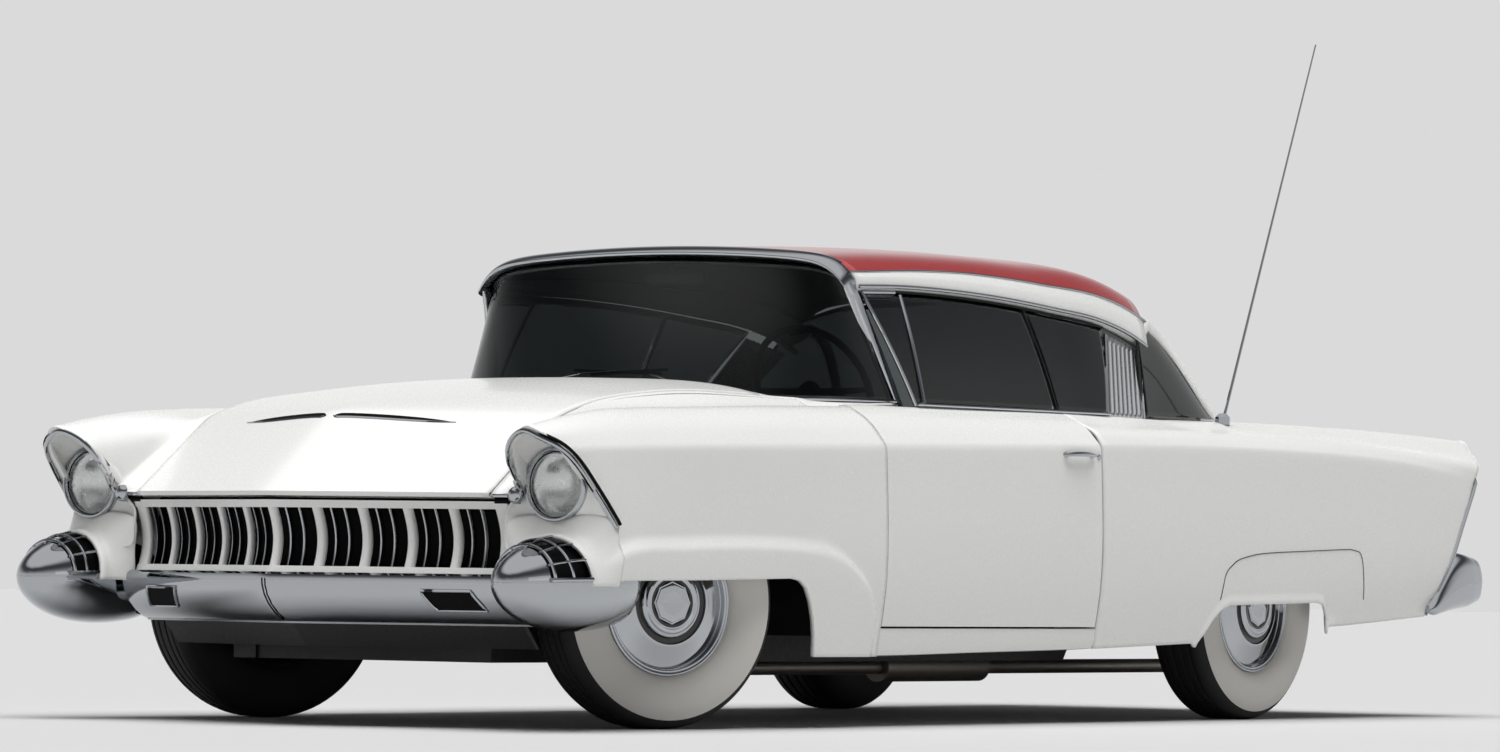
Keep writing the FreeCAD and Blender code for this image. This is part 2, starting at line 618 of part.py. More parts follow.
# ----------------------------------------------------------------- tail lamps
tail_core = core(quarter_path, quarter_stations[-4:], s.panel_wall + s.seat_gap)
tail_depth = 30
tail_inner = [(x + tail_depth, z) for x, z in (tail_line[2], tail_line[0])]
tail_slab = prism_y([tail_line[0], tail_line[2]] + tail_inner, 300, 1100)
tail_lamp = tail_core.common(tail_slab)
keep(feature("tail_lamp_left", tail_lamp))
keep(feature("tail_lamp_right", mirrored(tail_lamp)))

# -------------------------------------------------------- rear deck and trunk
inside_deck = s.deck_half_width
lid_rings = []
for share in (-1, -0.5, 0, 0.5, 1):
    y = share * inside_deck
    crown = 14 * (1 - share ** 2)
    xs = [s.lid_front_x, s.lid_front_x - 370, s.lid_rear_x + 60, s.lid_rear_x]
    drop = [0, 0, 0, 12]
    top = [(x, y, deck_z(x) + crown - d) for x, d in zip(xs, drop)]
    low = [(x, y, deck_z(x) + crown - d - s.panel_wall) for x, d in zip(xs, drop)]
    lid_rings.append(top + low[::-1])
lid = loft(lid_rings)
lid_pin_x = s.lid_front_x - 120
lid_pin_z = deck_z(lid_pin_x) - s.panel_wall / 2
lid_pins = Part.makeCylinder(6, 2 * (inside_deck + trunnion),
                             V(lid_pin_x, -inside_deck - trunnion, lid_pin_z), V(0, 1, 0))
lid = lid.fuse(lid_pins.cut(slab(-3000, 0, 10 - inside_deck, inside_deck - 10, 800, 1100)))
keep(feature("trunk_lid", lid.removeSplitter()))

panel_top = deck_z(s.lid_rear_x) - 12 - s.panel_wall - s.shut_gap
panel_foot = s.rail_bottom + s.rail_height + s.kick_up - 100 + s.seat_gap
panel_rings = []
for y in (-inside_deck + 2, inside_deck - 2):
    panel_rings.append([(s.lid_rear_x, y, panel_top), (s.lid_rear_x + 60, y, panel_foot),
                        (s.lid_rear_x + 80, y, panel_foot), (s.lid_rear_x + 20, y, panel_top)])
tail_panel = loft(panel_rings)
# flat pad with two screw holes for the number plate
pad_x = s.lid_rear_x + 2
pad = slab(pad_x, pad_x + 60, -s.plate_pitch / 2 - 30, s.plate_pitch / 2 + 30, s.plate_z - 20,
           s.plate_z + 20)
pad_back = loft([[(s.lid_rear_x + 10, y, panel_top), (s.lid_rear_x + 70, y, panel_foot),
                  (s.lid_rear_x + 200, y, panel_foot),
                  (s.lid_rear_x + 200, y, panel_top)] for y in (-inside_deck, inside_deck)])
tail_panel = tail_panel.fuse(pad.cut(pad_back))
for plate_y in (-s.plate_pitch / 2, s.plate_pitch / 2):
    tail_panel = tail_panel.cut(Part.makeCylinder(s.plate_hole_radius, 200,
                                                  V(pad_x - 50, plate_y, s.plate_z),
                                                  V(1, 0, 0)))
keep(feature("tail_panel", tail_panel.removeSplitter()))

# -------------------------------------------------------------- roof and trim
# x, drop of the drip rail below the top of the roof
RAIL_DROP = [(680, 144), (470, 139), (205, 142), (-70, 158), (-350, 181), (-660, 209), (-800, 236),
             (-900, 270),
             (-1110, 362)]
# x, drop of the middle line
MIDDLE_DROP = [(s.header_x + 20, 36), (300, 8), (-300, 0), (-800, 17), (s.roof_rear_x, 90)]


def rail_z(x):
    """Height of the drip rail at x."""
    return s.roof_height - between(RAIL_DROP, x)[0]


def roof_z(x, y):
    """Height of the roof's outside: the middle line blended into the drip rail's line."""
    share = between([(0, 0.0), (350, 0.2), (500, 0.45), (580, 0.72), (s.roof_half_width, 1.0)], abs(y))[0]
    middle = s.roof_height - between(MIDDLE_DROP, x)[0]
    return middle * (1 - share) + rail_z(x) * share


# y, front edge behind the middle's, rear edge ahead of the middle's
ROOF_PLAN = [(0, 0, 0), (350, 8, 45), (500, 18, 120), (580, 30, 165), (s.roof_half_width, 50, 205)]


def roof_ends(y):
    """Front and rear x of the roof at a width y."""
    front, rear = between(ROOF_PLAN, abs(y))
    return s.header_x - front, s.roof_rear_x + rear


roof_widths = [-s.roof_half_width, -580, -500, -350, 0, 350, 500, 580, s.roof_half_width]
roof_rings = []
for y in roof_widths:
    front, rear = roof_ends(y)
    xs = [front + (rear - front) * part for part in (0, 0.2, 0.45, 0.7, 0.88, 1)]
    top = [(x, y, roof_z(x, y)) for x in xs]
    roof_rings.append(top + [(x, y, z - s.roof_wall) for x, y, z in reversed(top)])
roof = loft(roof_rings)
keep(feature("roof_panel", roof))

# windshield: foot line on the cowl, head line under the header
# foot x, its y as a share of the cabin's half width, head x, its y as a share of the roof's, inward angle
WIND_SHARES = [(1020, 0, 785, 0, 0), (1000, 0.325, 780, 0.309, 8), (950, 0.61, 770, 0.588, 18),
               (860, 0.818, 754, 0.794, 35), (750, 0.932, 735, 0.904, 52), (610, 0.99, 712, 0.971, 70)]
WIND = [(fx, fy * s.cabin_half_width, hx, hy * s.roof_half_width, angle)
        for fx, fy, hx, hy, angle in WIND_SHARES]
wind_foot = s.cowl_height - 67
wind = []
for fx, fy, hx, hy, angle in WIND:
    wind.append(((fx, fy, wind_foot), (hx, hy, roof_z(hx, hy) - 34), angle, s.glass_thickness))
other = [((f[0], -f[1], f[2]), (h[0], -h[1], h[2]), -a, t) for f, h, a, t in wind[:0:-1]]
keep(feature("windshield_glass", ribbon(other + wind)))

# cowl: in front of and beside the windshield's foot
cowl_rings = []
cowl_edge = s.hood_half_width + s.shut_gap - s.seat_gap
for x in (s.hood_rear_x - s.shut_gap, s.door_front_x + s.shut_gap):
    ys = (-cowl_edge, -cowl_edge / 2, 0, cowl_edge / 2, cowl_edge)
    top = [(x, y, hood_z(s.hood_rear_x, y) - 0.13 * (s.hood_rear_x - x)) for y in ys]
    cowl_rings.append(top + [(x, y, z - 22) for x, y, z in reversed(top)])
cowl = loft(cowl_rings)
cowl_rings = []
for x, fall, edge_z in ((s.door_front_x + s.shut_gap, 0, BELT - 3), (570, 26, BELT - 2)):
    half = s.cabin_half_width
    top = [(x, -half, edge_z), (x, -cowl_edge, hood_z(s.hood_rear_x, cowl_edge) - 22 - fall),
           (x, 0, s.cowl_height - 23),
           (x, cowl_edge, hood_z(s.hood_rear_x, cowl_edge) - 22 - fall), (x, half, edge_z)]
    cowl_rings.append(top + [(x, y, z - 22) for x, y, z in reversed(top)])
cowl = cowl.fuse(loft(cowl_rings))
foot_plan = [(x + 1, -y) for x, y, hx, hy, angle in WIND[::-1]]
foot_plan += [(x + 1, y) for x, y, hx, hy, angle in WIND[1:]]
cowl = cowl.cut(prism_z(foot_plan + [(300, WIND[-1][1]), (300, -WIND[-1][1])], 800, 1100))
cowl = max(cowl.Solids, key=lambda solid: solid.Volume)
keep(feature("cowl_panel", cowl.removeSplitter()))

header_rings = []
for y in (-s.roof_half_width, -580, -500, -350, 0, 350, 500, 580, s.roof_half_width):
    x0 = roof_ends(y)[0] + s.seat_gap
    top = roof_z(x0, y)
    header_rings.append([(x0, y, top), (x0 + 62, y, top - 6), (x0 + 62, y, top - 24),
                         (x0, y, top - s.roof_wall)])
frame = loft(header_rings)
for sign in (1, -1):
    foot = V(585, sign * (s.cabin_half_width - 25), wind_foot - 33)
    head = V(692, sign * 656, roof_z(692, 656) - 27)
    half = s.pillar_width / 2
    quads = []
    for p in (foot, head):
        quads.append([(p.x - half, p.y - sign * 10, p.z), (p.x + half - 4, p.y - sign * 10, p.z),
                      (p.x + half - 4, p.y + sign * 18, p.z), (p.x - half, p.y + sign * 18, p.z)])
    frame = frame.fuse(loft(quads))
glass_space = ribbon([(f, h, a, t) for f, h, a, t in other + wind])
frame = frame.cut(glass_space).cut(roof).cut(cowl)
frame = max(frame.Solids, key=lambda solid: solid.Volume)
keep(feature("windshield_frame", frame))

# rear window: foot line on the deck, head line under the roof's rear edge
back = [((fx, fy, BELT - 1), (hx, hy, roof_z(hx, hy) - s.roof_wall - 3), angle, s.glass_thickness)
        for fx, fy, hx, hy, angle in BACK]
other_back = [((f[0], -f[1], f[2]), (h[0], -h[1], h[2]), -a, t) for f, h, a, t in back[:0:-1]]
rear_glass = ribbon(other_back + back).cut(roof)
keep(feature("rear_glass", rear_glass))

deck_rings = []
for x in (-1150, -1300, s.lid_front_x + s.shut_gap):
    half = s.deck_half_width + s.shut_gap - s.seat_gap
    top = [(x, y, deck_z(x) + 14 * (1 - (y / half) ** 2)) for y in (-half, -half / 2, 0, half / 2, half)]
    deck_rings.append(top + [(x, y, z - 20) for x, y, z in reversed(top)])
shelf = prism_z([(-1640, -250), (-1640, 250), (-1480, 560), (-1010, 560), (-1010, -560), (-1480, -560)],
                903, 923)
rear_deck = loft(deck_rings).cut(cabin_opening).fuse(shelf).removeSplitter()
keep(feature("rear_deck", rear_deck))

# ribbed pillars between the side windows and the rear window
for name, sign in SIDES:
    quads = []
    for x_front, x_rear, y, z in ((-500, -705, s.belt_inner_y + 5, BELT - 10),
                                  (-690, -880, s.roof_half_width - 22, 1215)):
        quads.append([(x_front, sign * y, z), (x_rear, sign * y, z), (x_rear, sign * (y - 24), z),
                      (x_front, sign * (y - 24), z)])
    strip = loft(quads).cut(roof).cut(quarter_left if sign > 0 else mirrored(quarter_left))
    keep(feature("ribbed_pillar_" + name, max(strip.Solids, key=lambda solid: solid.Volume)))

# side glass
for name, sign in SIDES:
    door_pane, rear_pane = [], []
    for foot_x, head_x in ((552, 655), (300, 330), (door_rear_x + 8, door_rear_x + 8)):
        foot_y, head_y = s.belt_inner_y + 18, s.roof_half_width - 14
        door_pane.append(((foot_x, sign * foot_y, BELT + s.seat_gap),
                          (head_x, sign * head_y, rail_z(head_x) - 42),
                          sign * 90, s.glass_thickness))
    for foot_x, head_x in ((door_rear_x, door_rear_x), (-485, -655)):
        rear_pane.append(((foot_x, sign * foot_y, BELT + s.seat_gap),
                          (head_x, sign * head_y, rail_z(head_x) - 42),
                          sign * 90, s.glass_thickness))
    keep(feature("door_glass_" + name, ribbon(door_pane)))
    keep(feature("quarter_glass_" + name, ribbon(rear_pane)))

# -------------------------------------------------------------- rear bumper
pod_half = s.rear_bumper_height / 2
bumper_rings = []
# y, rearmost x ahead of the bumper's tip, depth, half height
for y, ahead, depth, half in ((-948, 240, 120, 62), (-900, 60, 250, 92), (-800, 0, 190, pod_half),
                              (-690, 30, 100, 62), (0, 18, 90, 55), (690, 30, 100, 62),
                              (800, 0, 190, pod_half), (900, 60, 250, 92), (948, 240, 120, 62)):
    x, z = s.rear_bumper_x + ahead, s.rear_bumper_z
    bumper_rings.append([(x + depth * 0.35, y, z + half), (x, y, z + 0.35 * half), (x, y, z - 0.35 * half),
                         (x + depth * 0.4, y, z - half), (x + depth, y, z - half * 0.9),
                         (x + depth, y, z + half * 0.9)])
rear_bumper = loft(bumper_rings)
for neighbour in (quarter_left, mirrored(quarter_left), tail_lamp, mirrored(tail_lamp)):
    rear_bumper = rear_bumper.cut(neighbour)
rear_bumper = max(rear_bumper.Solids, key=lambda solid: solid.Volume)
keep(feature("rear_bumper", rear_bumper))

# ------------------------------------------------------------ frame and floor
rails = []
for name, sign in SIDES:
    low_y = sign * s.rail_y - s.rail_width / 2
    bottom, top, rise = s.rail_bottom, s.rail_bottom + s.rail_height, s.kick_up
    outline = [(s.rail_front_x, bottom), (REAR + 520, bottom), (REAR + 320, bottom + rise),
               (REAR - 320, bottom + rise),
               (REAR - 480, bottom + rise - 100), (s.rail_rear_x, bottom + rise - 100),
               (s.rail_rear_x, top + rise - 100), (REAR - 440, top + rise - 100), (REAR - 280, top + rise),
               (REAR + 280, top + rise), (REAR + 480, top), (s.rail_front_x, top)]
    rails.append(prism_y(outline, low_y, low_y + s.rail_width))
cross = [(s.rail_front_x - 90, bottom, top), (FRONT - 60, bottom, top + 20), (200, bottom, top - 20),
         (REAR + 560, bottom, top - 20)]
for x, z0, z1 in cross:
    rails.append(slab(x, x + 80 if x != FRONT - 60 else x + 120, -s.rail_y, s.rail_y, z0, z1))
rails.append(slab(s.rail_rear_x, s.rail_rear_x + 60, -s.rail_y, s.rail_y, bottom + rise - 90,
                  top + rise - 100))
kingpin_y = s.half_track_front - s.kingpin_offset
# the bumper brackets end inside the blade
bracket_x = s.prow_x - s.prow_sweep * (s.rail_y + 40) - 106
for name, sign in SIDES:
    inner_y, outer_y = sorted((sign * (s.rail_y + 20), sign * (s.spring_y + 35)))
    rails.append(slab(REAR + 585, REAR + 625, inner_y, outer_y, 225, s.tyre_radius - 66 - s.seat_gap))
    rails.append(slab(REAR - 625, REAR - 585, inner_y, outer_y, s.tyre_radius - 34 + s.seat_gap, 400))
    rails.append(slab(s.rail_front_x - 40, bracket_x, sign * s.rail_y - 40, sign * s.rail_y + 40,
                      300, 350).fuse(
        slab(s.rail_front_x - 40, s.rail_front_x, sign * s.rail_y - 40, sign * s.rail_y + 40, 250, 350)))
chassis = rails[0].multiFuse(rails[1:]).cut(blade).cut(rear_bumper)
chassis = max(chassis.Solids, key=lambda solid: solid.Volume)
keep(feature("frame_rails", chassis.removeSplitter()))

# front suspension: a tower on each rail with two arms that hold the kingpin
arm_drop, arm_half, eye_radius, tower_half = 130, 12, 34, 60
for name, sign in SIDES:
    tower_y = sorted((sign * (s.rail_y - s.rail_width / 2), sign * (s.rail_y + s.rail_width / 2 + 10)))
    plate_y = sorted((sign * (s.rail_y + s.rail_width / 2 + s.seat_gap),
                      sign * (s.rail_y + s.rail_width / 2 + 12)))
    arm_y = sorted((plate_y[0] if sign > 0 else plate_y[1], sign * kingpin_y))
    low_z, high_z = s.tyre_radius - arm_drop, s.tyre_radius + arm_drop
    steel = [slab(FRONT - tower_half, FRONT + tower_half, tower_y[0], tower_y[1], top + s.seat_gap,
                  high_z + 40),
             slab(FRONT - tower_half, FRONT + tower_half, plate_y[0], plate_y[1], low_z - arm_half,
                  high_z + 40)]
    for arm_z in (low_z, high_z):
        steel.append(slab(FRONT - arm_half * 2.5, FRONT + arm_half * 2.5, arm_y[0], arm_y[1],
                          arm_z - arm_half,
                          arm_z + arm_half))
        steel.append(Part.makeCylinder(eye_radius, 2 * arm_half,
                                       V(FRONT, sign * kingpin_y, arm_z - arm_half)))
    suspension = steel[0].multiFuse(steel[1:]).cut(chassis)
    suspension = suspension.cut(Part.makeCylinder(s.kingpin_radius + s.bearing_gap, 600,
                                                  V(FRONT, sign * kingpin_y, 0)))
    suspension = max(suspension.removeSplitter().Solids, key=lambda solid: solid.Volume)
    keep(feature("front_suspension_" + name, suspension))

floor_low = s.rail_bottom + s.rail_height + 0.3
seat_pan_z = s.floor_top + 185
half = s.cabin_half_width
floor = slab(-430, s.firewall_x, -half, half, floor_low, s.floor_top)
step = slab(-455, -430, -half, half, floor_low, seat_pan_z)
seat_pan = slab(-925, -430, -half, half, seat_pan_z - 20, seat_pan_z)
heel = slab(-925, -900, -half, half, seat_pan_z - 20, s.trunk_floor_z)
trunk_floor = slab(-2290, -900, 10 - s.deck_half_width, s.deck_half_width - 10, s.trunk_floor_z - 20,
                   s.trunk_floor_z)
seat_frame = slab(-200, 200, -560, 560, s.floor_top - 1, seat_pan_z)
seat_frame = seat_frame.cut(slab(-180, 180, -540, 540, 0, seat_pan_z - 15))
tunnel_out = slab(-430, s.firewall_x, -130, 130, floor_low, seat_pan_z)
tunnel_in = slab(-926, s.firewall_x + 1, -110, 110, floor_low - 1, seat_pan_z - 20)
firewall = slab(s.firewall_x - 25, s.firewall_x, -half, half, floor_low, s.cowl_height - 135)
firewall = firewall.fuse(slab(s.firewall_x - 25, s.firewall_x, -600, 600, s.cowl_height - 145,
                              wind_foot - 3))
floor_pan = floor.multiFuse([step, seat_pan, heel, trunk_floor, seat_frame, tunnel_out,
                             firewall]).cut(tunnel_in)
keep(feature("floor_pan", floor_pan.removeSplitter()))

# ---------------------------------------------------------------- engine block
engine = doc.addObject("PartDesign::Body", "engine_block")
base_plane = [f for f in engine.Origin.OriginFeatures if f.Role == "XY_Plane"][0]
sketch = engine.newObject("Sketcher::SketchObject", "engine_plan")
sketch.AttachmentSupport = [(base_plane, "")]
sketch.MapMode = "FlatFace"
corners = [V(1320, -210, 0), V(1960, -210, 0), V(1960, 210, 0), V(1320, 210, 0)]
for a, b in zip(corners, corners[1:] + corners[:1]):
    sketch.addGeometry(Part.LineSegment(a, b), False)
pad = engine.newObject("PartDesign::Pad", "engine_height")
pad.Profile = sketch
pad.Length = 470
engine.Placement = FreeCAD.Placement(V(0, 0, s.rail_bottom + s.rail_height + 20 + s.seat_gap),
                                     FreeCAD.Rotation())
keep(engine)

# -------------------------------------------------------------------- exhaust
exhaust = joined("exhaust_system", [
    rod("tail_pipe", "pipe_radius", 3400, -2280, "exhaust_y", "rail_bottom - seat_gap - pipe_radius", TO_X),
    rod("muffler", "muffler_radius", 560, -620, "exhaust_y", "rail_bottom - seat_gap - pipe_radius", TO_X)])
keep(exhaust)

# ------------------------------------------------------------------ rear axle
stub = s.half_track_rear - 20
axle = Part.makeCylinder(s.axle_tube_radius, 2 * (s.half_track_rear - 130),
                         V(REAR, -(s.half_track_rear - 130), s.tyre_radius),
                         V(0, 1, 0))
axle = axle.fuse(Part.makeCylinder(s.spindle_radius, 2 * stub, V(REAR, -stub, s.tyre_radius), V(0, 1, 0)))
axle = axle.fuse(Part.makeSphere(135, V(REAR, 0, s.tyre_radius)))
axle = axle.fuse(Part.makeCylinder(36, 1320 - REAR - s.seat_gap, V(REAR, 0, s.tyre_radius), V(1, 0, 0)))
for name, sign in SIDES:
    y = sign * s.spring_y
    axle = axle.fuse(slab(REAR - 620, REAR + 620, y - 30, y + 30, s.tyre_radius - 66, s.tyre_radius - 34))
    axle = axle.fuse(slab(REAR - 45, REAR + 45, y - 38, y + 38, s.tyre_radius - 66, s.tyre_radius + 10))
keep(feature("rear_axle", axle.removeSplitter()))

# ------------------------------------------------------------ wheels and tyres
def lathe(label, profile, centre, yaw, sign):
    """Turn an (outward, radius) profile about a wheel's axis."""
    face = Part.Face(ring([(0, a, r) for a, r in profile]))
    shape = face.revolve(V(0, 0, 0), V(0, 1, 0), 360)
    if sign < 0:
        shape = mirrored(shape)
    obj = feature(label, shape)
    obj.Placement = FreeCAD.Placement(V(*centre), FreeCAD.Rotation(V(0, 0, 1), yaw))
    return keep(obj)


half_tyre, radius, rim = s.tyre_width / 2, s.tyre_radius, s.rim_radius
tyre_profile = [(-0.66 * half_tyre, radius - 4), (-0.3 * half_tyre, radius), (0.3 * half_tyre, radius),
                (0.66 * half_tyre, radius - 4), (0.92 * half_tyre, radius - 30), (half_tyre, radius - 72),
                (0.96 * half_tyre, radius - 112), (0.72 * half_tyre, rim + 0.3),
                (-0.72 * half_tyre, rim + 0.3), (-0.96 * half_tyre, radius - 112),
                (-half_tyre, radius - 72), (-0.92 * half_tyre, radius - 30)]
half_rim = s.rim_width / 2
hub_bore = s.spindle_radius + s.bearing_gap
wheel_profile = [(0.72 * half_tyre, rim), (half_rim + 8, rim - 12), (half_rim + 4, rim - 40),
                 (half_rim + 10, 120),
                 (half_rim + s.cover_bulge, 100), (half_rim + s.cover_bulge, 0), (22, 0), (22, hub_bore),
                 (-28, hub_bore), (-28, s.drum_radius), (22, s.drum_radius), (30, rim - 24),
                 (-half_rim, rim - 24), (-0.72 * half_tyre, rim)]
steer = -s.steer_rest
swing_x = s.kingpin_offset * math.sin(math.radians(s.steer_rest))
swing_y = s.kingpin_offset * math.cos(math.radians(s.steer_rest))
wheels = []
for name, sign in SIDES:
    wheels.append(("front_" + name, (FRONT + sign * swing_x, sign * (kingpin_y + swing_y), radius), steer,
                   sign))
    wheels.append(("rear_" + name, (REAR, sign * s.half_track_rear, radius), 0, sign))
for name, centre, yaw, sign in wheels:
    lathe("tyre_" + name, tyre_profile, centre, yaw, sign)
    lathe("wheel_" + name, wheel_profile, centre, yaw, sign)

# ------------------------------------------------------------------- knuckles
for name, sign in SIDES:
    pin = Part.makeCylinder(s.kingpin_radius, 300, V(0, 0, -150))
    upright = Part.makeCylinder(34, 236 - 2 * s.seat_gap, V(0, 0, s.seat_gap - 118))
    spindle = Part.makeCylinder(s.spindle_radius, s.kingpin_offset + 20, V(0, 0, 0), V(0, sign, 0))
    knuckle = pin.fuse(upright).fuse(spindle).removeSplitter()
    obj = feature("knuckle_" + name, knuckle)
    obj.Placement = FreeCAD.Placement(V(FRONT, sign * kingpin_y, radius),
                                      FreeCAD.Rotation(V(0, 0, 1), steer))
    keep(obj)

# ------------------------------------------------------------------- interior
def bench(label, front_x, depth, back_top, lean, bottom):
    """A bench seat: a cushion and a leaning back, in one."""
    back_x = front_x - depth
    outline = [(front_x, bottom), (front_x, s.cushion_top - 20), (front_x - 30, s.cushion_top),
               (back_x, s.cushion_top - 30), (back_x - lean, back_top - 20),
               (back_x - lean - 30, back_top), (back_x - lean - 90, back_top - 15),
               (back_x - 65, bottom + 120), (back_x - 65, bottom)]
    keep(feature(label, prism_y(outline, -s.seat_half_width, s.seat_half_width)))


bench("front_seat", 250, 480, s.front_back_top, 60, s.floor_top + 185.3)
bench("rear_seat", -430, 400, 900, 40, s.floor_top + 185.3)

dash_rings = []
for y in (40 - s.cabin_half_width, -400, 0, 400, s.cabin_half_width - 40):
    front = 900 - 0.00022 * y * y
    dash_rings.append([(front, y, s.cowl_height - 100), (front - 190, y, s.cowl_height - 110),
                       (front - 215, y, s.cowl_height - 155), (front - 160, y, s.cowl_height - 285),
                       (front, y, s.cowl_height - 305)])
dashboard = loft(dash_rings)
tilt = math.radians(s.column_tilt)
column_dir = V(math.cos(tilt), 0, -math.sin(tilt))
hub = V(s.wheel_hub_x, s.driver_y, s.wheel_hub_z)
column = Part.makeCylinder(24, 500, hub + column_dir * (30 + s.seat_gap), column_dir)
stand = slab(880, s.firewall_x - 25 - s.seat_gap, -600, 600, s.cowl_height - 265, s.cowl_height - 145)
dashboard = dashboard.fuse(stand).fuse(column).removeSplitter()
keep(feature("dashboard", dashboard))

rim_shape = Part.makeTorus(s.steering_rim_radius, 11, V(0, 0, 0), V(0, 0, 1))
hub_shape = Part.makeCylinder(36, 30, V(0, 0, -30))
spokes = Part.makeBox(24, 2 * s.steering_rim_radius - 12, 12, V(-12, 6 - s.steering_rim_radius, -22))
inside_rim = Part.makeCylinder(s.steering_rim_radius, 80, V(0, 0, -40))
steering = rim_shape.fuse(hub_shape).fuse(spokes.common(inside_rim))
dip = Part.makeCylinder(s.steering_rim_radius, 12, V(0, 0, -22)).cut(
    Part.makeCylinder(s.steering_rim_radius - 12, 12, V(0, 0, -22)))
steering = steering.fuse(dip.common(slab(-12, 12, -300, 300, -40, 40))).removeSplitter()
steering_obj = feature("steering_wheel", steering)
steering_obj.Placement = FreeCAD.Placement(hub, FreeCAD.Rotation(V(0, 0, 1), V(0, 0, 0) - column_dir))
keep(steering_obj)

# --------------------------------------------------------------------- antenna
lean = math.radians(s.whip_lean)
whip_foot = V(REAR + 142, side_points(REAR + 142)[0][0] - 4, side_points(REAR + 142)[0][1] + 1)
whip_dir = V(-math.sin(lean), 0, math.cos(lean))
whip_rings = []
# share of the whip's length, radius of its six-sided section
for share, radius in ((0, s.whip_radius), (1, s.whip_radius / 2)):
    middle = whip_foot + whip_dir * (s.whip_length * share)
    whip_rings.append([(middle.x + radius * math.cos(k * math.pi / 3),
                        middle.y + radius * math.sin(k * math.pi / 3),
                        middle.z) for k in range(6)])
base_rings = []
# height over the foot, radius of the eight-sided base
for height, radius in ((-6, s.whip_base_radius), (18, s.whip_base_radius), (30, s.whip_base_radius / 2)):
    base_rings.append([(whip_foot.x + radius * math.cos(k * math.pi / 4),
                        whip_foot.y + radius * math.sin(k * math.pi / 4),
                        whip_foot.z + height) for k in range(8)])
whip_solid = loft(whip_rings).fuse(loft(base_rings)).cut(quarter_left)
keep(feature("antenna", max(whip_solid.Solids, key=lambda solid: solid.Volume)))

# ------------------------------------------------------------- check and write
doc.recompute()
for obj in doc.Objects:
    if "Invalid" in obj.State or "Error" in obj.State:
        raise RuntimeError("%s did not work out: %s" % (obj.Name, obj.State))
for node in nodes:
    if node.Shape.isNull() or not node.Shape.isValid():
        raise RuntimeError("%s has no valid shape" % node.Label)
    if len(node.Shape.Solids) != 1:
        print("note: %s has %d solids" % (node.Label, len(node.Shape.Solids)))
os.makedirs("parts", exist_ok=True)
for node in nodes:
    node.Shape.exportStep("parts/%s.step" % node.Label)
print("%d sub-parts written" % len(nodes))
print("hood hinge %.1f %.2f, lid hinge %.1f %.2f, door hinge %.1f %.1f"
      % (hood_pin_x, hood_pin_z, lid_pin_x, lid_pin_z, hinge_x, hinge_y))
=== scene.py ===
# %% [markdown]
# # A two-door hardtop car of the middle 1950s
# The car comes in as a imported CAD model, one object a part, each riding on the
# body that moves it.  This lesson dresses that model: it lays smooth painted
# skins over the plain solids, adds the bright work, glass, lamps and seats, and
# gives every surface a finish.  Everything is in metres, X forward, Y to the
# car's left and Z up.

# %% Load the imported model
import math

import bmesh
import bpy
import numpy as np
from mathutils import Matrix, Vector


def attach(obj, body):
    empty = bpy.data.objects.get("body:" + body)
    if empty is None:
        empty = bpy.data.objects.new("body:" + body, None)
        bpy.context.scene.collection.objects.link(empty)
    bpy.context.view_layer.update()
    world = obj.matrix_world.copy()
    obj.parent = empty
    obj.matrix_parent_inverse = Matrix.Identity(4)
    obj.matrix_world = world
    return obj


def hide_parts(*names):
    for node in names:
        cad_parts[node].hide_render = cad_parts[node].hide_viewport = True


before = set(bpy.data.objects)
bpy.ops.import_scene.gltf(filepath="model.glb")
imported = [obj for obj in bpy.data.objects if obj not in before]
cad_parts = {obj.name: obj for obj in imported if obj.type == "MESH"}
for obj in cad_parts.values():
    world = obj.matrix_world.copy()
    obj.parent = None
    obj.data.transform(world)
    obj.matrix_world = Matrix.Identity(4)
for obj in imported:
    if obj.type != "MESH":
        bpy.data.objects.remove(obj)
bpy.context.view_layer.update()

scene = bpy.context.scene
scene.view_settings.view_transform = "Standard"

# %% [markdown]
# ## Camera
# The car stands on a studio floor and is seen from ahead and from its left,
# from low down and with a long lens, so its sides stay nearly parallel.  The
# camera is set from a place, a heading, a pitch and a small roll, because
# those are what one sets on a tripod.

# %% Camera
heading, pitch, roll = math.radians(-144.76), math.radians(1.63), math.radians(0.75)
camera_place = np.array((17.584, 12.229, 0.432))
look = np.array((math.cos(pitch) * math.cos(heading), math.cos(pitch) * math.sin(heading), math.sin(pitch)))
level_right = np.cross(look, (0, 0, 1))
level_right = level_right / np.linalg.norm(level_right)
level_up = np.cross(level_right, look)
right = math.cos(roll) * level_right + math.sin(roll) * level_up
up = -math.sin(roll) * level_right + math.cos(roll) * level_up
turn = np.eye(4)
turn[:3, 0], turn[:3, 1], turn[:3, 2], turn[:3, 3] = right, up, -look, camera_place
camera_data = bpy.data.cameras.new("studio_camera")
camera_data.lens = 168
camera_data.sensor_width = 36
camera_data.clip_end = 200
camera = bpy.data.objects.new("studio_camera", camera_data)
scene.collection.objects.link(camera)
camera.matrix_world = turn.T.tolist()
scene.camera = camera
print("camera at", camera_place.tolist())

# %% [markdown]
# ## Colours and nodes
# Paint makers give colours as sRGB values, while a shader works in linear
# light, so one function turns one into the other.  A second small function
# adds a node with its settings and its links, and every finish below is built
# from these two.

# %% Colour and node helpers
def linear(hex_value):
    """sRGB hex to linear light: c/12.92 below 0.04045, ((c+0.055)/1.055)^2.4 above."""
    c = np.array([int(hex_value[i:i + 2], 16) for i in (1, 3, 5)]) / 255
    return (*np.where(c <= 0.04045, c / 12.92, ((c + 0.055) / 1.055) ** 2.4).tolist(), 1.0)


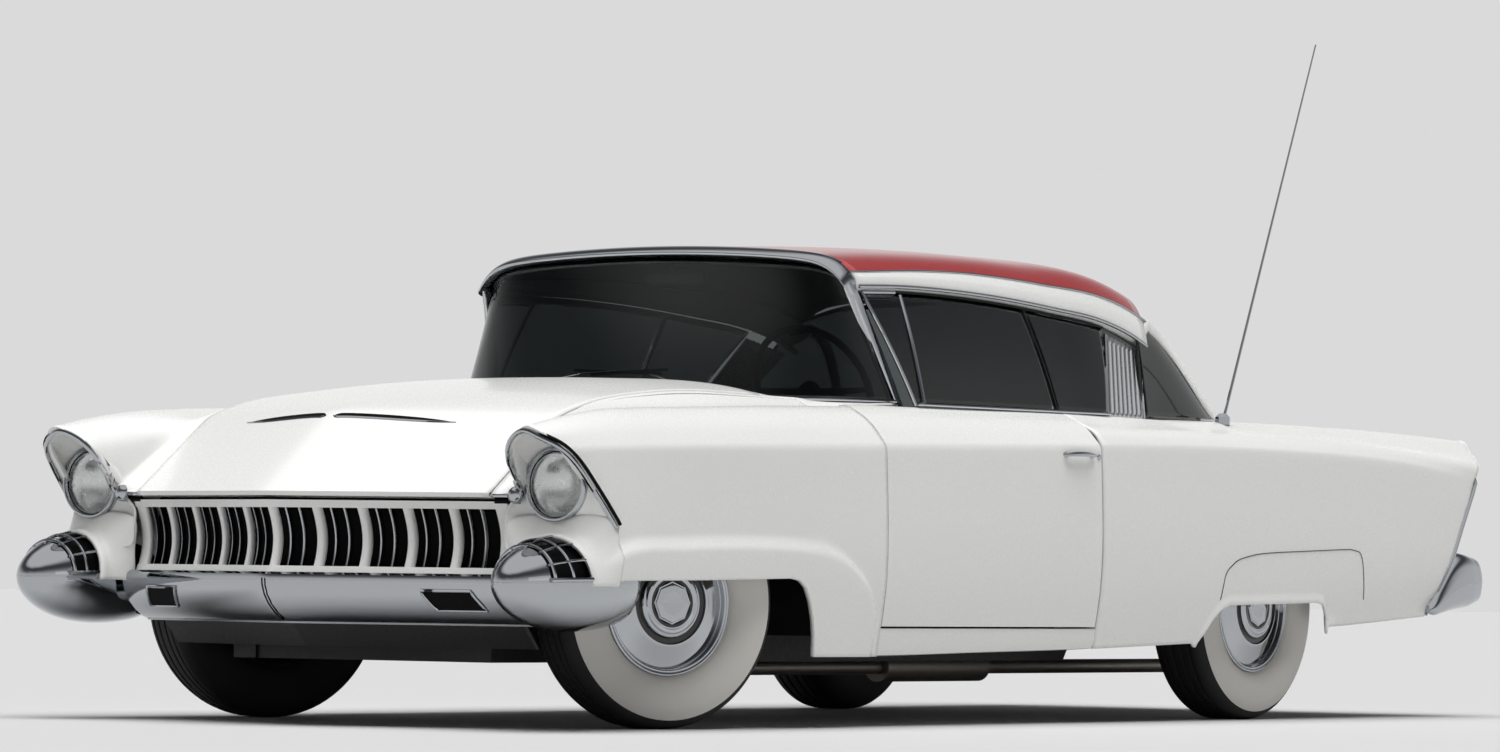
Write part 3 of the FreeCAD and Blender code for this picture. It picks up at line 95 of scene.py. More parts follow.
def add_node(material, kind, settings=(), links=()):
    """Add one node; settings are (name, value), links are (input, other node, its output)."""
    tree = material.node_tree
    node = tree.nodes.new("ShaderNode" + kind)
    for name, value in settings:
        if isinstance(name, str) and hasattr(node, name):
            setattr(node, name, value)
        else:
            node.inputs[name].default_value = value
    for name, other, output in links:
        tree.links.new(other.outputs[output], node.inputs[name])
    return node


def finish(name, settings):
    """A new material and its main shader, with plain values on the shader's own sockets."""
    material = bpy.data.materials.new(name)
    material.use_nodes = True
    shader = material.node_tree.nodes["Principled BSDF"]
    for socket, value in settings:
        shader.inputs[socket].default_value = value
    return material, shader


def feed(material, shader, socket, node, output):
    """Link a node into the main shader."""
    material.node_tree.links.new(node.outputs[output], shader.inputs[socket])


def roughen(material, shader, scale, low, high, height=0.0, detail=3.0):
    """Noise at a scale per metre: roughness from low to high, and a bump of that height in metres."""
    place = add_node(material, "TexCoord")
    noise = add_node(material, "TexNoise", [("Scale", scale), ("Detail", detail)],
                     [("Vector", place, "Object")])
    spread = add_node(material, "MapRange", [("To Min", low), ("To Max", high)], [("Value", noise, "Fac")])
    feed(material, shader, "Roughness", spread, "Result")
    if height:
        bump = add_node(material, "Bump", [("Strength", 0.5), ("Distance", height)],
                        [("Height", noise, "Fac")])
        feed(material, shader, "Normal", bump, "Normal")
    return place, noise


# %% [markdown]
# ## Finishes
# Each finish starts from what the real surface is and how it was made.  Baked
# enamel is a colour coat under a hard clear gloss.  Chrome plate is a bare
# metal that mirrors the room.  The scales of the fine patterns are real sizes:
# orange peel in the paint is about 3 mm across, cast iron grain about 2.5 mm.

# %% Body enamel, white
# Baked enamel, sprayed and polished: a deep gloss with faint orange peel.
white_enamel, shader = finish("white_baked_enamel", [
    ("Base Color", linear("#ECECEA")), ("Coat Weight", 0.3), ("Coat Roughness", 0.08), ("IOR", 1.45)])
roughen(white_enamel, shader, 330, 0.22, 0.32, 0.00004)

# %% Roof enamel, copper red
# The same enamel in a metallic copper red: fine flakes brighten it in the light.
red_enamel, shader = finish("copper_red_enamel", [
    ("Base Color", linear("#A8383A")), ("Coat Weight", 0.6), ("Coat Roughness", 0.05), ("Metallic", 0.15)])
place, noise = roughen(red_enamel, shader, 900, 0.2, 0.35, 0.00002)
mix = add_node(red_enamel, "Mix", [("data_type", "RGBA"), (6, linear("#96292C")), (7, linear("#BF4A4B"))],
               [(0, noise, "Fac")])
feed(red_enamel, shader, "Base Color", mix, 2)

# %% Chrome plate
# Nickel and chrome over polished steel: a mirror, with faint polishing haze.
chrome, shader = finish("chrome_plate", [("Base Color", linear("#B4B7BB")), ("Metallic", 1.0)])
roughen(chrome, shader, 25, 0.03, 0.1)

# %% Brushed aluminium
# Anodised and brushed along its flutes: softer than chrome.
aluminium, shader = finish("brushed_aluminium", [("Base Color", linear("#C9CBCD")), ("Metallic", 1.0)])
place, noise = roughen(aluminium, shader, 60, 0.18, 0.34)
stretch = add_node(aluminium, "Mapping", [("Scale", (14.0, 14.0, 0.4))], [("Vector", place, "Object")])
aluminium.node_tree.links.new(stretch.outputs["Vector"], noise.inputs["Vector"])

# %% Window glass
# Laminated safety glass with a smoke tint: it is seen through, darkly.
glass, shader = finish("tinted_safety_glass", [
    ("Base Color", linear("#5E6464")), ("Transmission Weight", 1.0), ("IOR", 1.45)])
roughen(glass, shader, 6, 0.0, 0.02)

# %% Lamp glass
# Pressed lens glass, fluted inside: clear, with vertical flutes 18 mm apart.
lens_glass, shader = finish("pressed_lens_glass", [
    ("Base Color", linear("#F4F6F6")), ("Transmission Weight", 1.0), ("IOR", 1.5), ("Roughness", 0.03)])
place = add_node(lens_glass, "TexCoord")
waves = add_node(lens_glass, "TexWave", [("bands_direction", "Y"), ("Scale", 17.0), ("Distortion", 0.0)],
                 [("Vector", place, "Object")])
bump = add_node(lens_glass, "Bump", [("Strength", 0.15), ("Distance", 0.002)], [("Height", waves, "Fac")])
feed(lens_glass, shader, "Normal", bump, "Normal")

# %% Lamp reflector
# Silvered steel behind the lens: brighter and softer than chrome.
silver, shader = finish("silvered_reflector", [("Base Color", linear("#F2F2F0")), ("Metallic", 0.85)])
roughen(silver, shader, 40, 0.22, 0.34)

# %% Tail lamp plastic
# Moulded acrylic, ruby red, slightly cloudy from years of light.
ruby, shader = finish("ruby_acrylic", [
    ("Base Color", linear("#8E0F14")), ("Transmission Weight", 0.35), ("IOR", 1.49), ("Coat Weight", 0.4)])
roughen(ruby, shader, 120, 0.12, 0.25, 0.0001)

# %% Tyre rubber, black and white
# Vulcanised rubber: matt, a little dusty on the tread; the band is white rubber.
rubber, shader = finish("black_tyre_rubber",
                        [("Base Color", linear("#1B1B1C")), ("Specular IOR Level", 0.35)])
roughen(rubber, shader, 240, 0.6, 0.85, 0.0003)
white_rubber, shader = finish("white_band_rubber",
                              [("Base Color", linear("#D4D2CC")), ("Specular IOR Level", 0.3)])
roughen(white_rubber, shader, 180, 0.5, 0.7, 0.0002)

# %% Chassis paint, iron and steel
# Brushed-on chassis black, cast iron and a weathered steel pipe.
chassis_black, shader = finish("chassis_black_paint", [("Base Color", linear("#141415"))])
roughen(chassis_black, shader, 90, 0.45, 0.7, 0.0006)
cast_iron, shader = finish("painted_cast_iron", [("Base Color", linear("#33201D")), ("Metallic", 0.1)])
roughen(cast_iron, shader, 400, 0.5, 0.75, 0.0008)
pipe_steel, shader = finish("aluminised_pipe_steel", [("Base Color", linear("#8C8780")), ("Metallic", 0.9)])
roughen(pipe_steel, shader, 50, 0.35, 0.6, 0.0003)

# %% Cabin finishes
# Grained leather, a woven headlining, a painted steel dashboard, a matt black for seams that also
# paints shade into hollows, and glossy hard plastic.
leather, shader = finish("grained_leather", [("Base Color", linear("#3A2422")), ("Coat Weight", 0.1)])
roughen(leather, shader, 700, 0.42, 0.58, 0.0006, 6.0)
cloth, shader = finish("headlining_cloth", [("Base Color", linear("#B9B4A8")), ("Sheen Weight", 0.3)])
roughen(cloth, shader, 900, 0.8, 0.95, 0.0003)
dash_paint, shader = finish("dashboard_enamel", [("Base Color", linear("#2B2C2E")), ("Coat Weight", 0.4)])
roughen(dash_paint, shader, 500, 0.3, 0.42, 0.0001)
# Matt black colours seams, and is painted shade where it fills slots, hollows and spaces behind openings.
seam_and_shade_black, shader = finish("seam_and_painted_shade_black",
                            [("Base Color", linear("#0B0B0C")), ("Specular IOR Level", 0.15)])
roughen(seam_and_shade_black, shader, 260, 0.75, 0.9, 0.0002)
plastic, shader = finish("moulded_black_plastic", [("Base Color", linear("#17171A")), ("Coat Weight", 0.3)])
roughen(plastic, shader, 300, 0.25, 0.38, 0.0001)

# %% [markdown]
# ## First dressing of the CAD parts
# Every part first gets the finish that suits it, found by the start of its
# name.  Parts whose solid is right keep it; the others are replaced below by
# finer pieces.

# %% Finishes on the CAD parts
looks = [
    (white_enamel, "front_fender door_ quarter_panel hood trunk_lid rear_deck cowl_panel tail_panel"),
    (white_enamel, "grille_panel headlamp"), (red_enamel, "roof_panel"), (aluminium, "ribbed_pillar"),
    (chrome, "windshield_frame front_bumper rear_bumper bumper_bullet wheel_ antenna"), (ruby, "tail_lamp"),
    (glass, "windshield_glass rear_glass door_glass quarter_glass"), (rubber, "tyre"),
    (chassis_black, "front_valance frame_rails front_suspension floor_pan rear_axle knuckle"),
    (cast_iron, "engine_block"), (pipe_steel, "exhaust_system"), (leather, "front_seat rear_seat"),
    (dash_paint, "dashboard"), (plastic, "steering_wheel")]
finish_of = {start: look for look, starts in looks for start in starts.split()}
for node_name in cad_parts:
    best = max((key for key in finish_of if node_name.startswith(key)), key=len)
    node_object = bpy.data.objects[node_name]
    node_object.data.materials.clear()
    node_object.data.materials.append(finish_of[best])
print("dressed", len(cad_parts), "CAD parts")

# %% [markdown]
# ## How the surfaces are made
# A pressed steel panel is a smooth skin.  Here each skin is a grid of points
# worked out with numpy: sections are read off a table of measured corners,
# their corners are rounded, and neighbouring points are joined into faces.
# Patches that share an edge are merged into one piece, so it has no open seam.

# %% Reading a table smoothly
def glide(rows, x):
    """Columns of a table, read smoothly at x, its first column.

    Each span is a cubic whose slope at a row is the mean of its neighbours' slopes.
    """
    rows = np.array(sorted(rows, key=lambda row: row[0]), float)
    knots, values = rows[:, 0], rows[:, 1:]
    x = np.clip(np.asarray(x, float), knots[0], knots[-1])
    slope = np.gradient(values, knots, axis=0) if len(knots) > 2 else np.repeat(
        (values[1:] - values[:1]) / (knots[1] - knots[0]), 2, axis=0)
    i = np.clip(np.searchsorted(knots, x, side="right") - 1, 0, len(knots) - 2)
    step = (knots[i + 1] - knots[i])[..., None]
    t = (x - knots[i])[..., None] / step
    return ((2 * t ** 3 - 3 * t ** 2 + 1) * values[i] + (t ** 3 - 2 * t ** 2 + t) * step * slope[i]
            + (3 * t ** 2 - 2 * t ** 3) * values[i + 1] + (t ** 3 - t ** 2) * step * slope[i + 1])


def softened(corners, shares, arc=6, run=3):
    """Round the inner corners of many paths at once.

    corners is (paths, corners, axes).  Each corner P becomes the parabola from
    P + share (previous - P) to P + share (next - P), with its control at P.
    """
    corners = np.asarray(corners, float)
    out, last = [corners[:, :1]], corners[:, 0]
    t = np.linspace(0, 1, arc)[None, :, None]
    for k, share in enumerate(shares, start=1):
        p = corners[:, k][:, None]
        a = p + share * (corners[:, k - 1][:, None] - p)
        b = p + share * (corners[:, k + 1][:, None] - p)
        line = np.linspace(0, 1, run + 2)[None, 1:-1, None]
        out.append(last[:, None] + line * (a - last[:, None]))
        out.append((1 - t) ** 2 * a + 2 * t * (1 - t) * p + t ** 2 * b)
        last = b[:, 0]
    line = np.linspace(0, 1, run + 2)[None, 1:, None]
    out.append(last[:, None] + line * (corners[:, -1] - last)[:, None])
    return np.concatenate(out, axis=1)


def joined(*columns):
    """Columns of numbers, stretched to one shape and joined along a new last axis."""
    return np.stack(np.broadcast_arrays(*columns), -1)


def ease(t):
    """The smooth step 3t^2 - 2t^3 between 0 and 1."""
    t = np.clip(t, 0, 1)
    return t * t * (3 - 2 * t)


def spaced(outline, spans):
    """x and z of points along an outline: spans are (first corner, last corner, number of points)."""
    outline = np.array(outline)
    run = np.concatenate([[0], np.cumsum(np.hypot(*np.diff(outline, axis=0).T))])
    at = np.unique(np.concatenate([np.linspace(run[first], run[last], number) for first, last,
                                   number in spans]))
    return np.interp(at, run, outline[:, 0]), np.interp(at, run, outline[:, 1])


def with_x(x, section):
    """Sections of (y, z) made into points: x is one value a row, or matches the section's shape."""
    x = x[:, None] if x.ndim == 1 else x
    return np.concatenate([np.broadcast_to(x[..., None], section.shape[:2] + (1,)), section], -1)


print("glide at 0.5:", glide([(0, 0), (1, 1), (2, 0)], 0.5))

# %% Patches and pieces
def patch(grid, wrap=(False, False), facing=None, finish_index=0):
    """A grid of points (rows, columns, 3) as four-sided faces.

    facing is a direction the patch looks to on the whole; without one the
    patch looks away from its own middle.
    """
    grid = np.asarray(grid, float)
    n, m = grid.shape[:2]
    i = np.arange(n if wrap[0] else n - 1)[:, None]
    j = np.arange(m if wrap[1] else m - 1)[None, :]
    faces = np.stack([i * m + j, i * m + (j + 1) % m, (i + 1) % n * m + (j + 1) % m, (i + 1) % n * m + j],
                     axis=-1).reshape(-1, 4)
    points = grid.reshape(-1, 3)
    corner = points[faces]
    normal = np.cross(corner[:, 2] - corner[:, 0], corner[:, 3] - corner[:, 1])
    if facing is None:
        outward = (normal * (corner.mean(axis=1) - points.mean(axis=0))).sum()
    else:
        outward = (normal @ np.array(facing, float)).sum()
    if outward < 0:
        faces = faces[:, ::-1]
    return points, faces, finish_index


def other_side(parts):
    """The same patches on the car's right: y changes sign and each face turns round."""
    return [(points * (1, -1, 1), faces[:, ::-1], index) for points, faces, index in parts]


def make_piece(name, parts, finishes, body, stands_for=(), slot=None, wall=0.0, sharp=32, subdivide=0):
    """Merge patches into one object at the origin, with its finishes and body; slot is not used."""
    start, points, faces, indices = 0, [], [], []
    for part_points, part_faces, index in parts:
        points.append(part_points)
        faces.append(part_faces + start)
        indices.append(np.full(len(part_faces), index))
        start += len(part_points)
    mesh = bpy.data.meshes.new(name)
    mesh.from_pydata(np.concatenate(points).tolist(), [], np.concatenate(faces).tolist())
    mesh.polygons.foreach_set("material_index", np.concatenate(indices).astype(np.int32))
    work = bmesh.new()
    work.from_mesh(mesh)
    bmesh.ops.remove_doubles(work, verts=work.verts, dist=0.00002)
    bmesh.ops.dissolve_degenerate(work, edges=work.edges, dist=0.00001)
    work.to_mesh(mesh)
    work.free()
    mesh.shade_smooth()
    mesh.set_sharp_from_angle(angle=math.radians(sharp))
    piece = bpy.data.objects.new(name, mesh)
    scene.collection.objects.link(piece)
    for one in finishes:
        mesh.materials.append(one)
    if subdivide:
        smooth = piece.modifiers.new("smooth", "SUBSURF")
        smooth.levels = smooth.render_levels = subdivide
    if wall:
        shell = piece.modifiers.new("wall", "SOLIDIFY")
        shell.thickness, shell.offset, shell.use_even_offset = wall, -1, False
    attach(piece, body)
    if stands_for:
        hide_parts(*stands_for)
    print(name, len(mesh.polygons), "faces")
    return piece


def pair(name, parts, finishes, bodies, stands_for=(), **more):
    """A piece and its mirror image: name_left and name_right."""
    for side, own, body in (("left", parts, bodies[0]), ("right", other_side(parts), bodies[1])):
        make_piece(name + "_" + side, own, finishes, body, [node + "_" + side for node in stands_for],
                   **more)


def tube(path, radius, around=10, flat=1.0, up_hint=(0, 0, 1), capped=True, finish_index=0):
    """A round or flattened bar along a path: each point gives a ring across the path's direction."""
    path = np.asarray(path, float)
    radius = np.broadcast_to(np.asarray(radius, float), (len(path),))
    ahead = np.gradient(path, axis=0)
    ahead /= np.linalg.norm(ahead, axis=1)[:, None]
    side = np.cross(ahead, np.broadcast_to(np.asarray(up_hint, float), path.shape))
    side /= np.linalg.norm(side, axis=1)[:, None]
    top = np.cross(side, ahead)
    angle = np.linspace(0, 2 * np.pi, around, endpoint=False)
    across, upward = np.cos(angle)[:, None], flat * np.sin(angle)[:, None]
    ring = across * side[:, None] + upward * top[:, None]
    grid = path[:, None] + radius[:, None, None] * ring
    if capped:
        grid = np.concatenate([np.repeat(path[:1], around, 0)[None], grid,
                               np.repeat(path[-1:], around, 0)[None]])
    return patch(grid, (False, True), None, finish_index)


BODY = "car_body"
BOTH = (BODY, BODY)
DOORS = ("door_left", "door_right")

# %% [markdown]
# ## The side of the body
# The flank of this car is one flowing surface from nose to tail: a rounded
# shoulder, a crease below the windows, a nearly flat side and a turned-under
# sill.  Fenders, doors and quarters are cut from that one surface, so that
# their lines run through.

# %% The flank as a table
# x, then y and z of shoulder, crease, side, lip and sill
FLANK = [
    (2.552, .828, .824, .905, .757, .940, .520, .936, .408, .900, .203),
    (2.372, .830, .862, .930, .768, .955, .520, .950, .408, .905, .203),
    (2.180, .830, .888, .948, .776, .960, .530, .956, .412, .915, .203),
    (1.960, .830, .898, .955, .783, .960, .534, .958, .414, .920, .203),
    (1.722, .830, .906, .957, .789, .960, .538, .958, .418, .925, .203),
    (1.400, .830, .917, .957, .796, .962, .538, .958, .420, .930, .203),
    (1.180, .822, .923, .957, .801, .964, .538, .960, .410, .932, .203),
    (.940, .815, .928, .957, .808, .968, .540, .962, .400, .932, .203),
    (.365, .814, .930, .957, .820, .968, .550, .961, .400, .931, .212),
    (-.210, .812, .933, .957, .833, .968, .560, .960, .400, .930, .222),
    (-.801, .805, .927, .957, .843, .968, .560, .960, .400, .930, .243),
    (-1.641, .805, .929, .957, .836, .966, .545, .958, .415, .930, .290),
    (-2.005, .812, .925, .952, .822, .960, .535, .952, .430, .925, .310),
    (-2.330, .825, .920, .945, .797, .950, .530, .938, .450, .905, .325),
    (-2.646, .845, .912, .925, .765, .925, .520, .905, .460, .880, .330)]


def flank(x):
    """The five corners of the flank at each x, as (count, 5, 2) of y and z."""
    return glide(FLANK, x).reshape(len(x), 5, 2)


def side_out(x, z):
    """Outer y of the flank below the crease, for matching arrays of x and z.

    A straight path through crease, side, lip and sill, softened at its corners,
    is read at the wanted height.
    """
    shape = np.broadcast(x, z).shape
    flat_x, flat_z = np.broadcast_to(x, shape).ravel(), np.broadcast_to(z, shape).ravel()
    keys, place = np.unique(np.round(flat_x, 4), return_inverse=True)
    paths = softened(flank(keys)[:, 1:], (.45, .35), 8, 4)
    low, high = paths[:, -1, 1], paths[:, 0, 1]
    steps = np.linspace(0, 1, 48)
    level = high[:, None] + (low - high)[:, None] * steps
    table = np.stack([np.interp(-q, -p[:, 1], p[:, 0]) for p, q in zip(paths, level)])
    t = np.clip((flat_z - high[place]) / (low - high)[place], 0, 1) * 47
    i = np.minimum(t.astype(int), 46)
    y = table[place, i] + (t - i) * (table[place, i + 1] - table[place, i])
    return y.reshape(shape)


WAIST = .70


def corners_at(x):
    """(y, z) of the shoulder, the crease and a softly rounded point between them."""
    corner = flank(x)
    crest, crease = corner[:, 0], corner[:, 1]
    return crest, crease, (crest + crease) / 2 + (.012, .014)


def waist_at(x):
    """(y, z) of the flank at the waist, where the upper and lower parts of a skin meet."""
    level = np.full(len(x), WAIST)
    return joined(side_out(x, level), level)


def under_waist(x, low, steps, bend=lambda x, z: x):
    """(y, z) of the flank from under the waist to the heights low; bend gives a row's x at a height."""
    z = WAIST + (low[:, None] - WAIST) * np.linspace(0, 1, steps)[None, 1:]
    return joined(side_out(bend(x[:, None], z), z), z)


# x and z of the line under which the fender swells
FLARE_TOP = [(2.45, .470), (2.294, .489), (2.221, .512), (1.961, .528), (1.608, .535), (1.377, .529),
             (1.223, .511), (1.111, .461), (1.030, .388), (.990, .300), (.970, .203)]


def flare(x, z):
    """The swelling over the front wheel: 27 mm out below a line that falls away behind the wheel."""
    top = glide(FLARE_TOP, x)[..., 0]
    return .027 * ease((top + .012 - z) / .045) * ease((2.335 - x) / .10) * ease((x - .965) / .06)


HOOD_HALF, PROW_X, PROW_SWEEP = .625, 2.583, .33


def prow(y):
    """The foremost x of the nose at a width y: a shallow V."""
    return PROW_X - PROW_SWEEP * np.abs(y)


def hood_line(y):
    """The hood's top line at each width y, as corners (x, z) from the rear edge to the lip."""
    y = np.asarray(y, float)
    back, fall = PROW_SWEEP * (np.sqrt(y ** 2 + .0016) - .04), .016 * (y / HOOD_HALF) ** 2
    shed = .034 * (y / HOOD_HALF) ** 4
    corners = [(1.110, 1.003 - fall - shed), (1.500, .995 - fall - .6 * shed),
               (1.962 - back / 2, .943 - fall), (2.262 - back, .890 - fall), (2.330 - back, .845 - fall),
               (PROW_X - back, .648)]
    return np.stack([joined(*corner) for corner in corners], axis=1)


def hood_z(x, y):
    """Height of the hood's top at matching arrays of x and y."""
    shape = np.broadcast(x, y).shape
    flat_x, flat_y = np.broadcast_to(x, shape).ravel(), np.broadcast_to(y, shape).ravel()
    keys, place = np.unique(np.round(flat_y, 4), return_inverse=True)
    paths = softened(hood_line(keys), (.45, .45, .45, .45), 9, 3)
    z = np.array([np.interp(px, paths[i][:, 0], paths[i][:, 1]) for px, i in zip(flat_x, place)])
    return z.reshape(shape)


print("flank at the door:", flank(np.array([.3])).round(3).tolist())

# %% [markdown]
# ## Front fenders
# The fender runs from the hood over a rounded shoulder down to the wheel.  At
# the nose it is cut off by a raked plane, where it hoods the headlamp.  Its
# wheel opening is straight along the top and falls away behind the tyre, so
# the grid's columns are spaced along that line and end on it.

# %% Front fenders
def face_x(y, z):
    """The raked plane that ends the fender, swept back outwards; under the lamp it comes forward."""
    raked = 2.520 - .9 * (.846 - z) + .21 * (.83 - y) * np.clip((.80 - z) / .15, -.6, 1)
    return np.maximum(raked, np.where(z < .56, 2.236 + .12 * (.545 - z), 0))


# x and z along the foot of the fender, from its nose over the wheel to the door
ARCH = [(2.60, .408), (1.892, .416), (1.450, .424), (1.405, .418), (1.372, .398), (1.345, .360),
        (1.322, .310), (1.307, .262), (1.297, .203), (.945, .203)]
NOSE_FROM, NOSE_LENGTH = 1.96, .412
fender_x, fender_low = spaced(ARCH, [(0, 2, 60), (2, 8, 36), (8, 9, 26)])
ahead = np.clip((fender_x - NOSE_FROM) / NOSE_LENGTH, 0, 1)
crest, crease, bulge = corners_at(fender_x)
inner = joined(.630 + .092 * ahead, hood_z(fender_x, np.full(len(fender_x), .63)) - .002)
flange = joined(.629, inner[:, 1] - .003)
shoulder = joined(.706 + .016 * ahead, crest[:, 1] - .017 - .057 * ahead)
upper = np.stack([flange, inner, shoulder, crest, bulge, crease, waist_at(fender_x)], 1)
upper = softened(upper, (.15, .45, .42, .45, .16), 7, 3)
fender = with_x(fender_x, np.concatenate([upper, under_waist(fender_x, fender_low, 44)], 1))
limit = face_x(fender[..., 1], fender[..., 2])
fender[..., 0] = np.where(fender[..., 0] > NOSE_FROM + .04, np.minimum(fender[..., 0], limit),
                          fender[..., 0])
fender[..., 1] += flare(fender[..., 0], fender[..., 2]) * (fender[..., 2] < .62)
pair("fender_skin", [patch(fender, facing=(0, 1, .6))], [white_enamel], BOTH, ["front_fender"],
     slot="body_paint", wall=.014, sharp=40)

# %% [markdown]
# ## Doors
# A door is a closed box: its outer skin is part of the flank, its inner panel
# stands upright behind it.  A ring of points goes round the section, and the
# ends are closed by shrinking the ring to its middle.

# %% Doors
def rounded_ring(corners, shares, arc, run):
    """Rings through corner lines (x, y, z), with every corner but the first rounded."""
    ring = np.stack([joined(*corner) for corner in corners], 1)
    return softened(np.concatenate([ring, ring[:, :1]], 1), shares, arc, run)[:, :-1]


def closed_ends(grid, finish_index=0):
    """A tube of rings whose first and last rings are filled towards their middles."""
    first, last = grid[:1].mean(axis=1, keepdims=True), grid[-1:].mean(axis=1, keepdims=True)
    m = grid.shape[1]
    return patch(np.concatenate([np.repeat(first, m, 1), grid, np.repeat(last, m, 1)]), (False, True), None,
                 finish_index)


DOOR_REAR, DOOR_FRONT, DOOR_FOOT, BELT_Y = -.205, .940, .290, .785
door_x = np.linspace(DOOR_REAR, DOOR_FRONT, 40)
crest, crease, bulge = corners_at(door_x)
inner_top = joined(BELT_Y, crest[:, 1] - .001)
upper = softened(np.stack([inner_top, crest, bulge, crease, waist_at(door_x)], 1), (.4, .45, .16), 7, 3)
inside = np.broadcast_to([(.825, DOOR_FOOT), (.815, .540), (.812, .780)], (40, 3, 2))
lower = under_waist(door_x, np.full(40, DOOR_FOOT), 30)
door = with_x(door_x, np.concatenate([upper, lower, inside], 1))
pair("door_skin", [closed_ends(door)], [white_enamel], DOORS, ["door"], slot="body_paint",
     sharp=40)

# %% [markdown]
# ## Rear quarters
# Behind the door the shoulder rises into a low fin.  A thin upper ridge and a
# full lower band run back on two levels and end in a raked tail edge; low down
# the sheet is cut out over the rear wheel.

# %% Rear quarters
def deck_z(x):
    """Height of the rear deck at x."""
    return glide([(-2.605, .850), (-2.485, .880), (-2.110, .922), (-1.740, .930), (-.840, .930)], x)[..., 0]


# z and x of the raked tail edge, from the foot up
TAIL = np.array([
    (.203, -2.166), (.321, -2.240), (.428, -2.316), (.510, -2.367), (.609, -2.431), (.734, -2.521),
    (.800, -2.563), (.830, -2.590), (.850, -2.603), (.870, -2.596), (.890, -2.603), (.905, -2.600),
    (.935, -2.570)])


def tail_x(z):
    """The tail edge at a height."""
    return np.interp(z, TAIL[:, 0], TAIL[:, 1])


# x and z along the foot of the quarter, from the door over the wheel to the tail
REAR_ARCH = [(-.215, .224), (-.780, .240), (-.800, .225), (-.828, .260), (-.870, .310), (-.915, .345),
             (-.960, .358), (-1.480, .368), (-1.530, .360), (-1.560, .325), (-1.582, .270), (-1.590, .293),
             (-2.640, .327)]
quarter_x, quarter_low = spaced(REAR_ARCH, [(0, 1, 22), (1, 6, 26), (6, 7, 22), (7, 11, 24), (11, 12, 50)])
count = len(quarter_x)
STRETCH_FROM, FIN_END = -1.700, -2.600


def raked(x, z):
    """The grid's x at height z: far back it is stretched so that the last row is the tail edge."""
    reach = (tail_x(z) - STRETCH_FROM) / (FIN_END - STRETCH_FROM)
    return np.where(x < STRETCH_FROM, STRETCH_FROM + (x - STRETCH_FROM) * reach, x)


# The grid's own end, at x -2.640, is drawn in to the fin's end.
top_x = np.where(quarter_x < STRETCH_FROM, STRETCH_FROM + (quarter_x - STRETCH_FROM) * .90 / .94, quarter_x)
crest, crease, bulge = corners_at(top_x)
aft = np.clip((-1.641 - top_x) / .99, 0, 1)[:, None]
deck = deck_z(top_x)
ledge = np.clip((-.70 - top_x) / .5, 0, 1)[:, None]
DECK_HALF, LID_HALF = .605, .603
lid_edge = joined(DECK_HALF, deck)
rise = joined(crest[:, 0] - .060, deck + .002)
front_edge = joined(BELT_Y, crest[:, 1] - .001)
forward = np.clip((top_x + .93) / .10, 0, 1)[:, None]
lid_edge = lid_edge * (1 - forward) + front_edge * forward
rise = rise * (1 - forward) + (front_edge + (.012, .001)) * forward
shelf = crest + np.concatenate([.052 + 0 * aft, -.030 - .040 * aft], 1)
shelf = shelf * ledge + ((crest + crease) / 2 + (-.020, .020)) * (1 - ledge)
band = (shelf + crease) / 2 + (.016, .012)
upper = np.stack([lid_edge, rise, crest, shelf, band, crease, waist_at(raked(top_x, WAIST))], 1)
upper = softened(upper, (.3, .3, .3, .45, .16), 6, 2)
section = np.concatenate([upper, under_waist(top_x, quarter_low, 40, raked)], 1)
quarter = with_x(raked(top_x[:, None], section[..., 1]), section)
over_wheel = ease((quarter[..., 0] + 1.66) / .05) * ease((-.80 - quarter[..., 0]) / .05)
quarter[..., 1] += .008 * over_wheel * ease((quarter_low[:, None] + .030 - quarter[..., 2]) / .018)
rocker_x = np.linspace(-.240, .944, 30)
sill_y, sill_z = flank(rocker_x)[:, 4].T
rocker = [(.772, .284), (side_out(rocker_x, .284 + 0 * rocker_x) - .004, .284),
          (side_out(rocker_x, .250 + 0 * rocker_x) - .001, .250), (sill_y - .006, sill_z + .004),
          (.880, sill_z), (.772, sill_z + .010)]
rocker_ring = np.stack([joined(rocker_x, y, z) for y, z in rocker], 1)
jamb_outline = ((BELT_Y, .930), (.805, .930), (.950, .830), (.955, .560), (.925, .230), (.790, .230))
jamb = np.array([[(x, y, z) for y, z in jamb_outline] for x in (-.216, -.236)])
pair("quarter_skin", [patch(quarter, facing=(0, 1, .6)), closed_ends(rocker_ring), closed_ends(jamb)],
     [white_enamel], BOTH, ["quarter_panel"], slot="body_paint", wall=.008, sharp=40)

# %% [markdown]
# ## Hood
# The hood is one broad pressing: nearly level at the windshield, then falling
# in a long curve to a pointed prow.  It is worked out line by line across the
# car, each line being the same softened path, moved back and down with its
# distance from the middle.

# %% Hood skin
hood_y = np.linspace(-HOOD_HALF, HOOD_HALF, 61)
paths = softened(hood_line(hood_y), (.45, .45, .45, .45), 10, 4)
hood = joined(paths[..., 0], hood_y[:, None], paths[..., 1])
lip = hood[:, -1:] + (-.002, 0, -.012)
tuck = hood[:, -1:] + (-.030, 0, -.018)
make_piece("hood_skin", [patch(np.concatenate([hood, lip, tuck], 1), facing=(.3, 0, 1))], [white_enamel],
           "hood", ["hood"], slot="body_paint", wall=.012)

# %% [markdown]
# Two slim air slots cross the hood in a shallow V.  Each is a dark slit, round at
# its inner end and pointed at its outer end, with a slim bright bead below it.
# The slit's dark is painted shade: a matt black strip laid just over the hood.

# %% Air slots
def on_hood(x, y, lift):
    """Points on the hood's surface raised by a lift."""
    return joined(x, y, hood_z(x, y) + lift)


